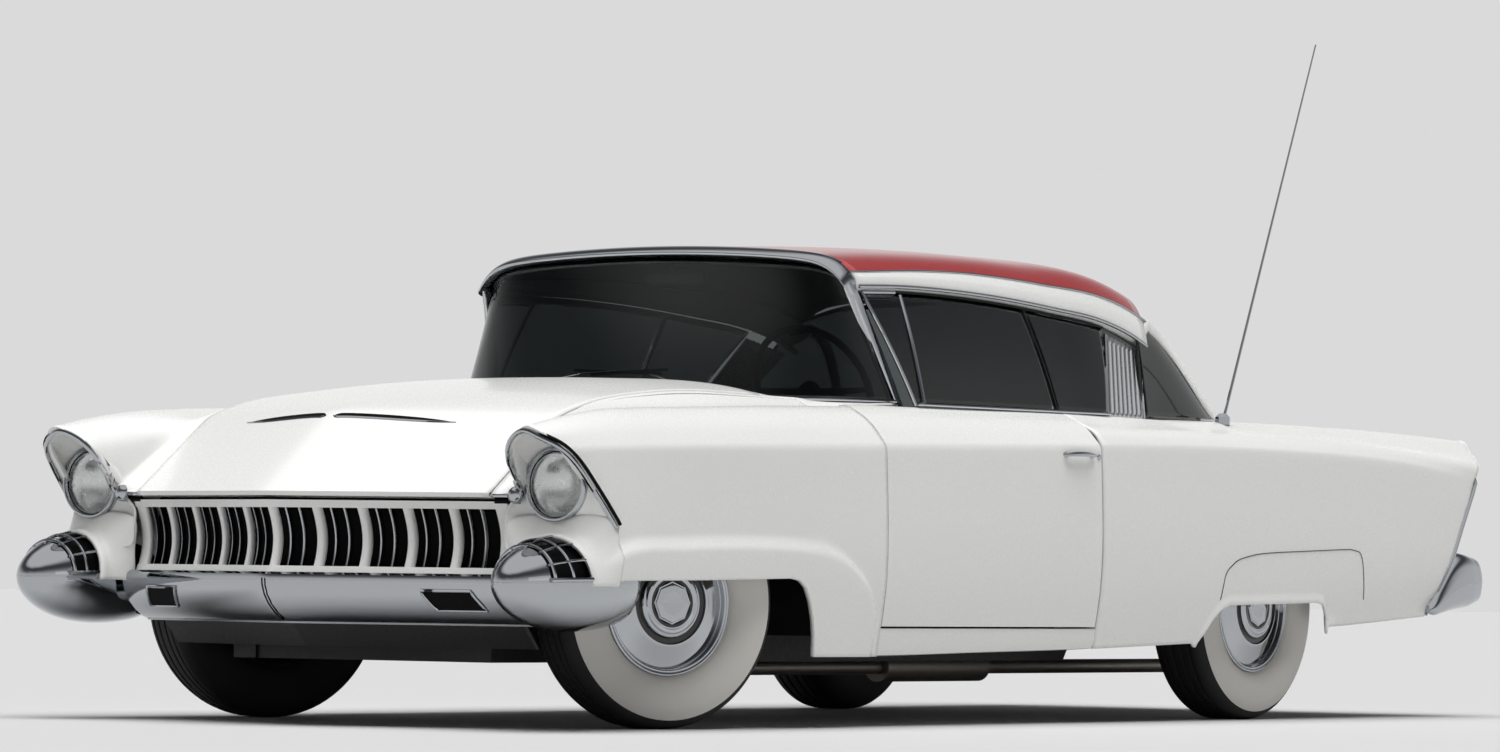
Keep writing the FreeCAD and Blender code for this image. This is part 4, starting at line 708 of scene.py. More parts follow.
slots = []
for sign in (1, -1):
    along = np.linspace(0, 1, 40)
    y = sign * (.012 + .362 * along)
    x = 2.308 - .258 * np.abs(y)
    taper = np.sqrt(np.clip(along / .05, 0, 1)) * (1 - along ** 5)
    # The dark rows are painted shade: matt black laid over the hood where the slot opens.
    dark = [on_hood(x + d * taper, y, h) for d, h in ((-.010, .0008), (-.002, .0018), (.006, .0008))]
    bright = [on_hood(x + d * taper, y, h)
              for d, h in ((.005, .0008), (.006, .0034), (.008, .0034), (.010, .0008))]
    slots += [patch(np.stack(rows), facing=(.3, 0, 1), finish_index=k)
              for k, rows in enumerate((dark, bright))]
make_piece("hood_air_slots", slots, [seam_and_shade_black, chrome], "hood", slot="trim_chrome")

# %% Hood lip moulding
# The bright lip runs on over each fender's inner edge and ends in a ball; the runs beyond the hood stay
# with the body.
LIP_INSET, LIP_Z, BALL_R = .004, .641, .024
lip_y = np.linspace(-.622, .622, 63)
lip_path = joined(prow(np.sqrt(lip_y ** 2 + .0006)) - LIP_INSET, lip_y, LIP_Z)
make_piece("hood_lip_moulding", [tube(lip_path, .011, 10, .8)], [chrome], "hood", slot="trim_chrome")
end_y = np.linspace(.630, .700, 7)
end_path = joined(prow(end_y) - LIP_INSET, end_y, LIP_Z)
ball_t = np.linspace(-1, 1, 13)
ball = end_path[-1] + (.014, 0, .001) + ball_t[:, None] * np.array([BALL_R, 0, 0])
ball_r = BALL_R * np.sqrt(1 - ball_t ** 2) + .0005
pair("lip_end", [tube(end_path, .011, 10, .8), tube(ball, ball_r, 20, 1, (0, 1, 0)),
                 tube(end_path + (-.006, 0, -.016), .007, 8, finish_index=1)],
     [chrome, seam_and_shade_black], BOTH, slot="trim_chrome")

# %% [markdown]
# ## Grille
# The grille is a painted pressing between hood and bumper, hollowed in its
# middle so that every opening reads as a bow.  Ten groups of three openings are
# parted by broad painted bars, and thin bright bars divide each group.  Each
# bar is a small closed tube bent along the hollow, so light runs down it.

# %% Grille bars and rails
GRILLE_TOP, GRILLE_LOW = .624, .405


def hollow(z):
    """How far the grille falls back at a height: a bow 34 mm deep."""
    t = (z - GRILLE_LOW) / (GRILLE_TOP - GRILLE_LOW)
    return .034 * np.sin(np.pi * np.clip(t, 0, 1)) + .006 * (1 - t)


def bar(y, half, depth, z0, z1, finish_index=0, steps=16):
    """An upright bar at y: its section is a superellipse half wide and depth deep."""
    z = np.linspace(z0, z1, steps)
    angle = np.linspace(0, 2 * np.pi, 14, endpoint=False)
    across = np.sign(np.cos(angle)) * np.abs(np.cos(angle)) ** .6 * half
    out = np.sign(np.sin(angle)) * np.abs(np.sin(angle)) ** .8 * depth
    nose = prow(y + across)
    x = nose[None, :] - .006 - depth - hollow(z)[:, None] + out[None, :]
    grid = joined(x, (y + across)[None], z[:, None])
    return closed_ends(grid, finish_index)


grille = []
for sign in (1, -1):
    for group in range(5):
        middle = sign * .126 * (group + .5)
        for thin in (-.0185, .0185):
            grille.append(bar(middle + thin, .0028, .010, .434, .613, 1, 14))
        if group < 4:
            grille.append(bar(sign * .126 * (group + 1), .0105, .014, .424, .616))
    grille.append(bar(sign * .646, .024, .014, .424, .616))
grille.append(bar(0.0, .0125, .014, .424, .616))
for z0, z1 in ((.603, GRILLE_TOP), (GRILLE_LOW, .442)):
    y = np.linspace(-.664, .664, 81)
    z = np.linspace(z0, z1, 9)
    x = prow(y)[:, None] - .006 - hollow(z)[None]
    face = joined(x, y[:, None], z[None])
    inner = face[:, ::-1] + (-.024, 0, 0)
    grille.append(patch(np.concatenate([face, inner], 1), (False, True), None))
make_piece("grille_bars", grille, [white_enamel, chrome], BODY, ["grille_panel"], slot="body_paint",
           sharp=50)

# %% Radiator screen behind the grille, in painted shade
# A matt black screen stands for the radiator; its black paints the shade behind the grille openings.
shade_screen_y = np.linspace(-.650, .650, 41)
shade_screen_z = np.linspace(.360, .634, 12)
shade_screen = joined(2.475 - .33 * np.abs(shade_screen_y)[:, None] + 0 * shade_screen_z[None], shade_screen_y[:, None], shade_screen_z[None])
make_piece("radiator_and_shade_screen", [patch(shade_screen, facing=(1, 0, 0))], [seam_and_shade_black], BODY, slot="chassis_black",
           wall=.006)

# %% [markdown]
# ## Headlamps
# Each lamp sits deep in a painted tunnel under the fender's hood.  The tunnel
# is a surface stretched between two closed curves: the almond-shaped opening
# in the raked face, and the round bezel of the lamp.  Below the lamp the same
# surface rolls forward as an apron that meets the grille and the bumper.

# %% Lamp pods
LAMP = np.array((2.345, .827, .671))
# Points (x, y, z) round the opening, from its top over the outer side to the foot and back up
almond = np.array([
    (2.493, .827, .815), (2.480, .876, .794), (2.448, .915, .768), (2.403, .935, .727), (2.340, .944, .662),
    (2.275, .948, .596), (2.232, .950, .545), (2.236, .945, .505), (2.300, .915, .488), (2.345, .870, .486),
    (2.372, .810, .488), (2.378, .745, .490), (2.372, .690, .492), (2.364, .664, .500), (2.362, .662, .545),
    (2.358, .662, .592), (2.360, .690, .625), (2.372, .727, .655), (2.402, .727, .692), (2.436, .730, .733),
    (2.462, .746, .770), (2.480, .780, .800)])


def closed_smooth(points, count):
    """A closed curve through points: each span is the Catmull-Rom cubic of its four nearest points."""
    n = len(points)
    at = np.linspace(0, n, count, endpoint=False)
    i = at.astype(int)
    t = (at - i)[:, None]
    a, b, c, d = points[i - 1], points[i % n], points[(i + 1) % n], points[(i + 2) % n]
    square, cube = 2 * a - 5 * b + 4 * c - d, 3 * b - a - 3 * c + d
    return .5 * (2 * b + (c - a) * t + square * t ** 2 + cube * t ** 3)


RIM_POINTS = 88
rim = closed_smooth(almond, RIM_POINTS)
heading_of = np.arctan2(rim[:, 1] - LAMP[1], rim[:, 2] - LAMP[2])
RING_R, POD_HOLLOW = .102, .010
outwards = joined(0, np.sin(heading_of), np.cos(heading_of))
lamp_ring = LAMP + RING_R * outwards
v = np.linspace(0, 1, 14)[:, None, None]
top_part = ease((rim[:, 2] - .60) / .12)[:, None]
hollowed = POD_HOLLOW * (outwards - (1, 0, 0)) * (1 - .5 * top_part)
pod = lamp_ring * (1 - v) + rim * v + 4 * v * (1 - v) * hollowed
deep = lamp_ring[None] + (-.035, 0, 0)
pod_parts = [patch(np.concatenate([deep, pod]), (False, True), (1, 0, 0))]
pair("lamp_pod", pod_parts, [white_enamel], BOTH, ["headlamp"], slot="body_paint", wall=.006, sharp=50)


def lathe_x(profile, centre, count=48, tilt=0.0, finish_index=0, start=0.0, sweep=2 * np.pi):
    """Turn an (x, radius) profile about an axis along X through a centre."""
    profile = np.asarray(profile, float)
    whole = abs(sweep - 2 * np.pi) < 1e-6
    angle = start + np.linspace(0, sweep, count, endpoint=not whole)
    x = profile[:, :1] + 0 * angle
    y, z = profile[:, 1:] * np.sin(angle), profile[:, 1:] * np.cos(angle)
    grid = joined(x + tilt * z, y, z) + centre
    return patch(grid, (False, whole), None, finish_index)


# Profiles of ring, reflector and lens: x from the lamp's middle, and radius
ring_profile = [(0.0, .103), (.012, .102), (.018, .098), (.018, .094), (.010, .0905), (-.004, .089)]
reflector = [(-.060, .0), (-.058, .020), (-.048, .045), (-.030, .068), (-.004, .0885)]
lens_line = [(x, r) for r, x in zip(np.linspace(.090, 0, 14),
                                    .002 + .026 * (1 - np.linspace(1, 0, 14) ** 2) ** .9)]
pair("lamp_ring", [lathe_x(ring_profile, LAMP, 64)], [chrome], BOTH, slot="lamp_bezel", wall=.002)
pair("lamp_reflector", [lathe_x(reflector, LAMP, 64)], [silver], BOTH, slot="lamp_bezel", wall=.001)
pair("lamp_lens", [lathe_x(lens_line, LAMP, 64)], [lens_glass], BOTH, slot="window_glass", wall=.003)

# %% Bright edging of the lamp opening
# The bright edging starts on the inner edge, RIM_POINTS * 16 / 22 points along the opening, and runs over
# the top; a matt black line runs beside it on the outer side.
outer_edge = rim[:int(RIM_POINTS * 6.2 / 22)]
edge = np.concatenate([rim[int(RIM_POINTS * 16 / 22):], outer_edge])
black_line = tube(outer_edge + (-.004, .010, .008), .005, 8, finish_index=1)
pair("lamp_edging", [tube(edge + (.003, 0, 0), .0062, 8, 1.2), black_line], [chrome, seam_and_shade_black], BOTH,
     slot="trim_chrome")

# %% [markdown]
# ## Front bumper
# The blade follows the prow in a shallow V.  Its section has a rolled bright
# top edge, a full face that turns under, and a slim lip below.  At each end sits
# a bullet: a pointed shell with a band of dark windows round its upper half,
# parted by a bright lattice.  The windows' dark is painted shade: a matt black
# shell inside.

# %% Bumper blade
blade_y = np.linspace(-.700, .700, 85)
# x from the nose line and z, round the section from the rear top
blade_section = np.array([(-.070, .402), (-.040, .409), (-.006, .411), (.004, .405), (.008, .396),
                          (.006, .380), (-.004, .360), (-.024, .336), (-.052, .312), (-.084, .294),
                          (-.104, .288), (-.108, .283), (-.128, .282), (-.136, .286), (-.120, .300),
                          (-.088, .325), (-.060, .360), (-.062, .390)])
blade_section[:, 1] += .014 * ease((blade_section[:, 1] - .34) / .07)
nose = prow(np.sqrt(blade_y ** 2 + .0004))
blade = joined(nose[:, None] + blade_section[None, :, 0], blade_y[:, None], blade_section[None, :, 1])
make_piece("bumper_blade", [closed_ends(blade)], [chrome], BODY, ["front_bumper"], slot="trim_chrome",
           sharp=30)

# %% Marker lamps and seam
def on_blade(y, z, out):
    """Points on the blade's face at a height, held off it."""
    face = blade_section[3:12]
    x = prow(y) + np.interp(-z, -face[:, 1], face[:, 0]) + out
    return joined(x, y, z)


frames = []
for sign in (1, -1):
    outline = np.array([(.437, .378), (.575, .378), (.600, .324), (.462, .324)])
    loop = np.concatenate([np.linspace(outline[k], outline[(k + 1) % 4], 7)[:-1] for k in range(4)])
    path = on_blade(sign * loop[:, 0], loop[:, 1], .003)
    frames.append(tube(np.concatenate([path, path[:2]]), .0042, 8, up_hint=(1, 0, .2)))
    u, w = np.meshgrid(np.linspace(0, 1, 8), np.linspace(0, 1, 6))
    frames.append(patch(on_blade(sign * (.437 + .138 * u + .025 * w), .378 - .054 * w, .0015),
                        facing=(1, 0, 0), finish_index=1))
make_piece("marker_lamps", frames, [chrome, seam_and_shade_black], BODY, slot="trim_chrome")
seam_z = np.linspace(.408, .292, 14)
make_piece("bumper_seam", [tube(on_blade(-.002, seam_z, .0006), .0022, 8, up_hint=(0, 1, 0))],
           [seam_and_shade_black], BODY, slot="trim_chrome")

# %% Bumper bullets
BULLET = np.array((0, .844, .403))
# x and radius, from the tip to the rear
shell_line = np.array([(2.620, .0), (2.6185, .012), (2.612, .028), (2.600, .044), (2.575, .066),
                       (2.535, .090), (2.480, .111), (2.420, .124), (2.350, .131), (2.290, .132),
                       (2.220, .128), (2.170, .121), (2.120, .110), (2.118, .0)])
shell = softened(shell_line[None], (.3,) * 12, 3, 0)[0]
lower_half = lathe_x(shell, BULLET, 40, start=np.pi / 2 - .10, sweep=np.pi + .20)
tip_line = shell[shell[:, 0] > 2.505]
tip_half = lathe_x(tip_line, BULLET, 36, start=-np.pi / 2 - .10, sweep=np.pi + .20)
# A smaller matt black shell inside paints the shade seen through the windows.
inner_line = (shell * (1, .84))[shell[:, 0] < 2.54]
inside_shade_half = lathe_x(inner_line, BULLET, 30, start=-np.pi / 2 - .1, sweep=np.pi + .2, finish_index=1)


def on_bullet(x, angle, grow=1.0):
    """Points on the bullet's shell at a distance x along it and an angle from its top."""
    r = np.interp(-x, -shell[:, 0], shell[:, 1]) * grow
    return joined(x, BULLET[1] + r * np.sin(angle), BULLET[2] + r * np.cos(angle))


def leaning(x, angle):
    """A ring's x round the bullet: its outer side lies further back than its top."""
    return x - (2.520 - x) * .18 * angle


THIN_BAR, lattice = .0045, []
for angle, size in ((-1.45, .008), (-.95, THIN_BAR), (-.45, THIN_BAR), (.10, THIN_BAR), (.60, THIN_BAR),
                    (1.05, THIN_BAR), (1.48, .009)):
    x = leaning(np.linspace(2.520, 2.408, 9), angle)
    lattice.append(tube(on_bullet(x, np.full(9, angle), 1.02), size, 8, .8))
for x, size in ((2.510, .0065), (2.462, .0050)):
    angle = np.linspace(-1.5, 1.5, 30)
    lattice.append(tube(on_bullet(leaning(x, angle), angle, 1.02), size, 8, .8, up_hint=(1, 0, 0)))
pair("bullet_shell", [lower_half, tip_half, inside_shade_half], [chrome, seam_and_shade_black], BOTH, ["bumper_bullet"],
     slot="trim_chrome", sharp=50)
pair("bullet_lattice", lattice, [chrome], BOTH, slot="trim_chrome")

# %% [markdown]
# Behind its windows each bullet is hooded by white sheet.  It starts as a broad
# hoop, runs back and flares out to the grille's end, the lamp pod and the
# fender's front edge.

# %% Shrouds behind the bullets
hoop_a = np.linspace(-1.62, 1.62, 45)
# angle round the hoop, then x, y and z where the sheet meets the body
meet = glide([(-1.62, 2.345, .664, .395), (-1.20, 2.352, .662, .480), (-.80, 2.354, .663, .570),
              (-.45, 2.352, .745, .590), (0, 2.352, .827, .570), (.45, 2.335, .905, .590),
              (.75, 2.270, .948, .586), (1.00, 2.234, .951, .545), (1.25, 2.245, .970, .470),
              (1.62, 2.253, .970, .395)], hoop_a)
edge_y = side_out(meet[:, 0], meet[:, 2]) + flare(meet[:, 0], meet[:, 2])
meet[:, 1] = np.where(hoop_a > .98, edge_y, meet[:, 1])


def hoop(x, r):
    """One ring of the hoop: x along the bullet, r from its axis."""
    return BULLET + joined(leaning(x, hoop_a), r * np.sin(hoop_a), r * np.cos(hoop_a))


rings = [hoop(x, r) for x, r in ((2.404, .122), (2.405, .129), (2.401, .1340), (2.392, .1368),
                                 (2.374, .1375))]
for v in np.linspace(0, 1, 12)[1:]:
    ring = rings[4] + (meet - rings[4]) * v ** 1.5
    ring[:, 0] = rings[4][:, 0] + (meet[:, 0] - rings[4][:, 0]) * v
    rings.append(ring)
pair("bullet_shroud", [patch(np.stack(rings), facing=(1, 0, .5))], [white_enamel], BOTH, slot="body_paint",
     wall=.004, sharp=50)

# %% [markdown]
# ## Cowl
# Between the hood's rear edge and the windshield lies the cowl.  At its sides
# it dips between the fender's inner slope and the door, so its front row is
# read from the same lines as those panels.

# %% Cowl panel
# key, then x and y of the glass at its foot and x and y at its head
WIND_ROWS = [(0, 1.020, 0, .785, 0), (1, 1.000, .250, .780, .210), (2, .950, .470, .770, .400),
             (3, .860, .630, .754, .540), (4, .750, .718, .735, .615), (5, .610, .762, .712, .660)]


def both_ways(rows):
    """A table keyed 0, 1, 2 ... made whole from -n to n: x keeps its sign and y changes."""
    return [(-k, fx, -fy, hx, -hy) for k, fx, fy, hx, hy in rows[:0:-1]] + list(rows)


wind_key = np.linspace(-5, 5, 101)
wind = glide(both_ways(WIND_ROWS), wind_key)
cowl_y = np.linspace(-.768, .768, 97)
side_y = np.abs(cowl_y)
foot_x = np.interp(side_y, wind[50:, 1], wind[50:, 0]) + .004
# Ahead it meets the hood at x 1.104; beyond the hood's edge it meets the fenders and doors at x .943.
front_x = np.where(side_y < .634, 1.104, .943)
front_z = np.interp(side_y, [.634, .675, .706, .768], [.952, .924, .911, .924])
front_z = np.where(side_y < .634, hood_z(front_x, cowl_y) - .002, front_z)
t = np.linspace(0, 1, 12)[:, None]
cowl_x = front_x + (foot_x - front_x) * t
cowl_z = front_z + (.9405 - front_z) * ease(t * .9 + .05)
top = joined(cowl_x, cowl_y, cowl_z)
make_piece("cowl_skin", [patch(top, facing=(0, 0, 1))], [white_enamel], BODY, ["cowl_panel"],
           slot="body_paint", wall=.010, sharp=40)

# %% Wiper arms, washer nozzles and air slit
fittings = []
for side in (1, -1):
    pivot = np.array([1.010, side * .330, .957])
    tip = np.array([.925, side * .020, 1.030])
    s = np.linspace(0, 1, 9)[:, None]
    arm = pivot + (tip - pivot) * s + np.array([.018, 0, .016]) * np.sin(np.pi * s)
    fittings.append(tube(arm, np.linspace(.005, .003, 9), 8, .6))
    blade_line = tip + np.array([-.006, 0, -.004]) + (s - .5) * np.array([.030, side * .300, .012])
    fittings.append(tube(blade_line, .0035, 6, 1.4, finish_index=1))
    fittings.append(tube(pivot + [(0, 0, -.016), (0, 0, -.002), (0, 0, .006), (0, 0, .010)],
                         [.013, .013, .010, .003], 16, up_hint=(1, 0, 0)))
    nozzle = np.array([1.045, side * .150, .965])
    fittings.append(tube(nozzle + [(0, 0, -.004), (0, 0, .006), (.004, 0, .011), (.012, 0, .012)],
                         [.006, .005, .0045, .003], 10, up_hint=(0, 1, 0)))
slit_y = np.linspace(-.30, .30, 31)
slit = joined(1.086, slit_y, hood_z(np.full(31, 1.104), slit_y) - .0005)
fittings.append(tube(slit, .0045 * np.sin(np.linspace(.02, np.pi - .02, 31)) ** .4, 6, .35, finish_index=1))
make_piece("wiper_arms", fittings, [chrome, plastic], BODY, slot="trim_chrome")

# %% [markdown]
# ## Roof
# The roof's middle is copper red.  A white rail runs along each side, with a
# bright bead between the colours and a chrome drip moulding along its edge.
# Height is one formula: a middle line blended into the rail's line across the
# width, so both colours lie on one surface.

# %% The roof's surface
# x and z of the side rail and of the middle of the roof; then y, front x and rear x of its outline
RAIL_LINE = [(.70, 1.296), (.47, 1.303), (.205, 1.301), (-.07, 1.290), (-.35, 1.270), (-.66, 1.238),
             (-.80, 1.206), (-.90, 1.172), (-1.11, 1.080)]
MIDDLE_LINE = [(.765, 1.402), (.30, 1.426), (-.30, 1.436), (-.80, 1.420), (-1.11, 1.348)]
RAIL_Y = .680
ROOF_PLAN = [(-.350, .737, -1.065), (0, .745, -1.110), (.350, .737, -1.065), (.500, .727, -.990),
             (.580, .715, -.945), (.680, .695, -.905)]


def roof_z(x, y):
    """Height of the roof: the middle line passes into the rail's line, slowly and then fast at the edge."""
    t = np.clip(np.abs(y) / RAIL_Y, 0, 1)
    share = .35 * t ** 2 + .65 * t ** 14
    return glide(MIDDLE_LINE, x)[..., 0] * (1 - share) + glide(RAIL_LINE, x)[..., 0] * share


def colour_line(x):
    """The y where copper red ends and white begins: it draws in a little behind the windshield."""
    return .648 + .012 * ease(x / .70)


def roof_ends(y):
    """Front and rear x of the roof at each y, as (count, 2)."""
    return glide(ROOF_PLAN, np.abs(y))


def roof_strip(y, lift=0.0, steps=41, widen=None):
    """A strip of the roof between its ends at each y: (steps, count, 3); widen(x, y) gives the true y."""
    ends = roof_ends(y)
    x = ends[:, 0] + (ends[:, 1] - ends[:, 0]) * np.linspace(0, 1, steps)[:, None]
    wide = np.broadcast_to(y, x.shape) if widen is None else widen(x, y)
    return joined(x, wide, roof_z(x, wide) + lift)


# %% Roof panel
RED_Y, RAIL_WIDTH = .650, .028
red_y = RED_Y * np.sin(np.linspace(-np.pi / 2, np.pi / 2, 91))
red_strip = roof_strip(red_y, widen=lambda x, y: y * colour_line(x) / RED_Y)
rail_share = np.linspace(0, 1, 12)
rail_strip = roof_strip(RED_Y + RAIL_WIDTH * rail_share, widen=lambda x, y: (
    colour_line(x) + (RED_Y + RAIL_WIDTH - colour_line(x)) * (y - RED_Y) / RAIL_WIDTH))
rail_strip[:, -3:, 2] -= (.002, .006, .013)
rail_strip[:, :, 2] += .003 * ease(rail_share / .3)
under = rail_strip[:, -1:] + np.array([(0, -.001, -.012), (0, -.010, -.020), (0, -.030, -.022)])
rail_strip = np.concatenate([rail_strip, under], 1)
roof_parts = [patch(red_strip, facing=(0, 0, 1), finish_index=0),
              patch(rail_strip, facing=(0, .5, 1), finish_index=1)]
roof_parts += other_side(roof_parts[1:])
make_piece("roof_skin", roof_parts, [red_enamel, white_enamel], BODY, ["roof_panel"], slot="roof_paint",
           wall=.012, sharp=40)

# %% Headlining
# Stretched cloth under the roof, 24 mm below the steel.
lining = roof_strip(np.linspace(-.630, .630, 41), -.024, 25)
make_piece("headlining", [patch(lining, facing=(0, 0, -1))], [cloth], BODY, slot="seat_leather", wall=.003)

# %% Drip moulding, and the bead between the colours
drip_x = np.linspace(.690, -.900, 60)
drip = joined(drip_x, .679, roof_z(drip_x, np.full(60, .678)) - .018)
bead_x = np.linspace(.712, -.940, 60)
bead_y = colour_line(bead_x) + .001
bead = joined(bead_x, bead_y, roof_z(bead_x, bead_y) + .002)
trim = [tube(drip, .0058, 8, 1.1), tube(bead, .0045, 8, .8)]
pair("drip_moulding", trim, [chrome], BOTH, slot="trim_chrome")

# %% [markdown]
# ## Windshield and its frame
# The glass is one wrapped sheet, ruled between a foot line on the cowl and a
# head line under a chrome visor.  The visor turns down at its ends into the
# windshield pillars, and a dark rubber strip seats the glass on the cowl.

# %% Windshield
foot = joined(wind[:, 0], wind[:, 1], .939)
head = joined(wind[:, 2], wind[:, 3], roof_z(wind[:, 2], wind[:, 3]) - .030)
rows_up = np.linspace(0, 1, 21)
half_wave = np.sin(np.pi * rows_up)[:, None]
sheet = foot + (head - foot) * rows_up[:, None, None]
sheet[..., 0] += .010 * half_wave * np.cos(wind[:, 1] / .8 * 1.2)
make_piece("windshield_pane", [patch(sheet, facing=(1, 0, .5))], [glass], BODY, ["windshield_glass"],
           slot="window_glass", wall=.005, sharp=60)
seat_line = foot + joined(.004, .004 * np.sign(wind_key), .004)
moulding = foot + joined(.012, .008 * np.tanh(wind_key), .006)
make_piece("windshield_strips", [tube(seat_line, .007, 8, .8, finish_index=1), tube(moulding, .005, 8, .9)],
           [chrome, rubber], BODY, slot="trim_chrome")

# %% Visor and pillars
visor_y = np.linspace(-.672, .672, 81)
ends = roof_ends(visor_y)[:, 0]
top_z = roof_z(ends, visor_y)
droop = .010 * np.clip((np.abs(visor_y) - .56) / .112, 0, 1) ** 2
offsets = [(-.012, .004), (.012, .004), (.036, -.002), (.056, -.012), (.061, -.018), (.058, -.025),
           (.040, -.033), (.000, -.034)]
visor = rounded_ring([(ends + dx, visor_y, top_z + dz - droop) for dx, dz in offsets], (.3,) * 7, 3, 1)
# key, then x, y and z down the pillar
post = glide([(0, .732, .662, 1.292), (1, .710, .667, 1.262), (2, .687, .676, 1.215),
              (3, .646, .702, 1.110), (4, .606, .727, 1.005), (5, .574, .748, .912)], np.linspace(0, 5, 31))
post_parts = [tube(post, np.interp(np.linspace(0, 5, 31), [0, 1, 5], [.018, .025, .027]), 20, .55,
                   (0, 1, 0))]
make_piece("windshield_visor", [closed_ends(visor)] + post_parts + other_side(post_parts), [chrome], BODY,
           ["windshield_frame"], slot="trim_chrome", sharp=50)

# %% Rear window
# The same columns as WIND_ROWS
BACK_ROWS = [(0, -1.625, 0, -1.100, 0), (1, -1.600, .250, -1.085, .230), (2, -1.520, .460, -1.050, .400),
             (3, -1.400, .610, -1.010, .510), (4, -1.200, .722, -.960, .595), (5, -.715, .782, -.872, .655)]
back = glide(both_ways(BACK_ROWS), wind_key)
back_foot = joined(back[:, 0], back[:, 1], .934)
back_head = joined(back[:, 2], back[:, 3], roof_z(back[:, 2], back[:, 3]) - .018)
sheet = back_foot + (back_head - back_foot) * rows_up[:, None, None]
sheet[..., 2] += .020 * half_wave
make_piece("rear_window_pane", [patch(sheet, facing=(-1, 0, .5))], [glass], BODY, ["rear_glass"],
           slot="window_glass", wall=.005, sharp=60)
strip = back_foot[8:-8] + (0, 0, .004)
make_piece("rear_window_strip", [tube(strip, .006, 8, .8)], [chrome], BODY, slot="trim_chrome")

# %% Rear rails
# From each rear corner of the roof a white rail runs down to the deck, over the line where the glass turns
# the corner: in each row of the pane that is the point furthest out along a slanting direction.
outermost = np.argmax(-.42 * sheet[:, 51:, 0] + .91 * sheet[:, 51:, 1], axis=1) + 51
over_glass = sheet[np.arange(21), outermost] + (-.003, .005, .003)
over_glass = np.stack([np.polyval(np.polyfit(rows_up, column, 3), rows_up) for column in over_glass.T], -1)
over_glass = np.concatenate([over_glass[:18], [(-.885, .664, 1.192), (-.820, .660, 1.210)]])
rail = glide([(k, *point) for k, point in enumerate(over_glass)], np.linspace(0, 19, 60))
pair("rear_rail", [tube(rail, .021, 16, .38, (-.42, .91, 0))], [white_enamel], BOTH, slot="body_paint",
     sharp=50)

# %% [markdown]
# ## Side windows
# The door's glass is held by thin black rubber, with a bright-framed vent window
# ahead of it.  Behind the door a second pane runs back to a pillar of upright
# flutes.

# %% Side panes
PANE_FOOT_Y, PANE_HEAD_Y, PANE_DROP, GLASS_FOOT_Z = .803, .668, .031, .934


def side_pane(rows, count):
    """A pane ruled from foot to head: rows are (foot x, head x) from front to rear."""
    keys = np.linspace(0, 1, count)
    line = glide([(k, a, b) for k, (a, b) in zip(np.linspace(0, 1, len(rows)), rows)], keys)
    low = joined(line[:, 0], PANE_FOOT_Y, GLASS_FOOT_Z)
    high = joined(line[:, 1], PANE_HEAD_Y, roof_z(line[:, 1], RAIL_Y) - PANE_DROP)
    share = np.linspace(0, 1, 15)[:, None, None]
    pane = low + (high - low) * share
    pane[..., 1] += .008 * np.sin(np.pi * share[..., 0])
    return pane


door_pane = side_pane([(.570, .664), (.300, .330), (-.2045, -.2045)], 41)
rear_pane = side_pane([(-.206, -.206), (-.350, -.430), (-.485, -.655)], 21)
pair("door_pane", [patch(door_pane, facing=(0, 1, 0))], [glass], DOORS, ["door_glass"],
     slot="window_glass", wall=.005)
pair("quarter_pane", [patch(rear_pane, facing=(0, 1, 0))], [glass], BOTH, ["quarter_glass"],
     slot="window_glass", wall=.005)

# %% Window frames
out = np.array([0, .003, 0])
lower_line = door_pane[0] + out + (0, .004, .004)
upper_line = door_pane[-1] + out
vent_post = np.array([(.526, .801, .936), (.510, .768, 1.030), (.490, .722, 1.150), (.468, .670, 1.262)])
vent_post = glide([(k, *p) for k, p in enumerate(vent_post)], np.linspace(0, 3, 13)) + out
over_vent = upper_line[:12]
door_trim = [tube(upper_line, .0032, 8, finish_index=1), tube(over_vent, .0062, 8, 1.1),
             tube(over_vent - (0, -.002, .024), .0042, 8), tube(lower_line, .006, 8, .9),
             tube(vent_post, .0075, 8), tube(door_pane[:, 0] + out, .005, 8),
             tube(door_pane[:, -1] + (.001, -.001, 0), .0035, 8, finish_index=1)]
pair("door_window_frame", door_trim, [chrome, rubber], DOORS, slot="trim_chrome")
rear_trim = [tube(rear_pane[-1] + out, .0032, 8, finish_index=1),
             tube(rear_pane[0] + out + (0, .004, .004), .006, 8, .9)]
pair("quarter_window_frame", rear_trim, [chrome, rubber], BOTH, slot="trim_chrome")

# %% Fluted pillars
# Eight half-round flutes run up each pillar, pressed 4.5 mm proud of the sheet.
flutes = 8
u = np.linspace(0, 1, flutes * 8 + 1)
v = np.linspace(0, 1, 13)[:, None]
foot_line = joined(-.502 - .203 * u, .791 + 0 * u, .925 + 0 * u)
head_line = joined(-.668 - .190 * u, .672 + 0 * u, 1.186 - .040 * u)
pillar = foot_line + (head_line - foot_line) * v[..., None]
proud = .0045 * np.abs(np.sin(np.pi * flutes * u)) ** .7
pillar[..., 1] += proud
pillar[..., 2] += .4 * proud
edge_line = pillar[:, 0] + (.004, .003, 0)
pair("fluted_pillar", [patch(pillar, facing=(0, 1, 0))], [aluminium], BOTH, ["ribbed_pillar"],
     slot="trim_chrome", wall=.014, sharp=70)
pair("pillar_strip", [tube(edge_line, .0065, 8, 1.3), tube(pillar[:, -1] + (-.003, .002, 0), .005, 8)],
     [chrome], BOTH, slot="trim_chrome")

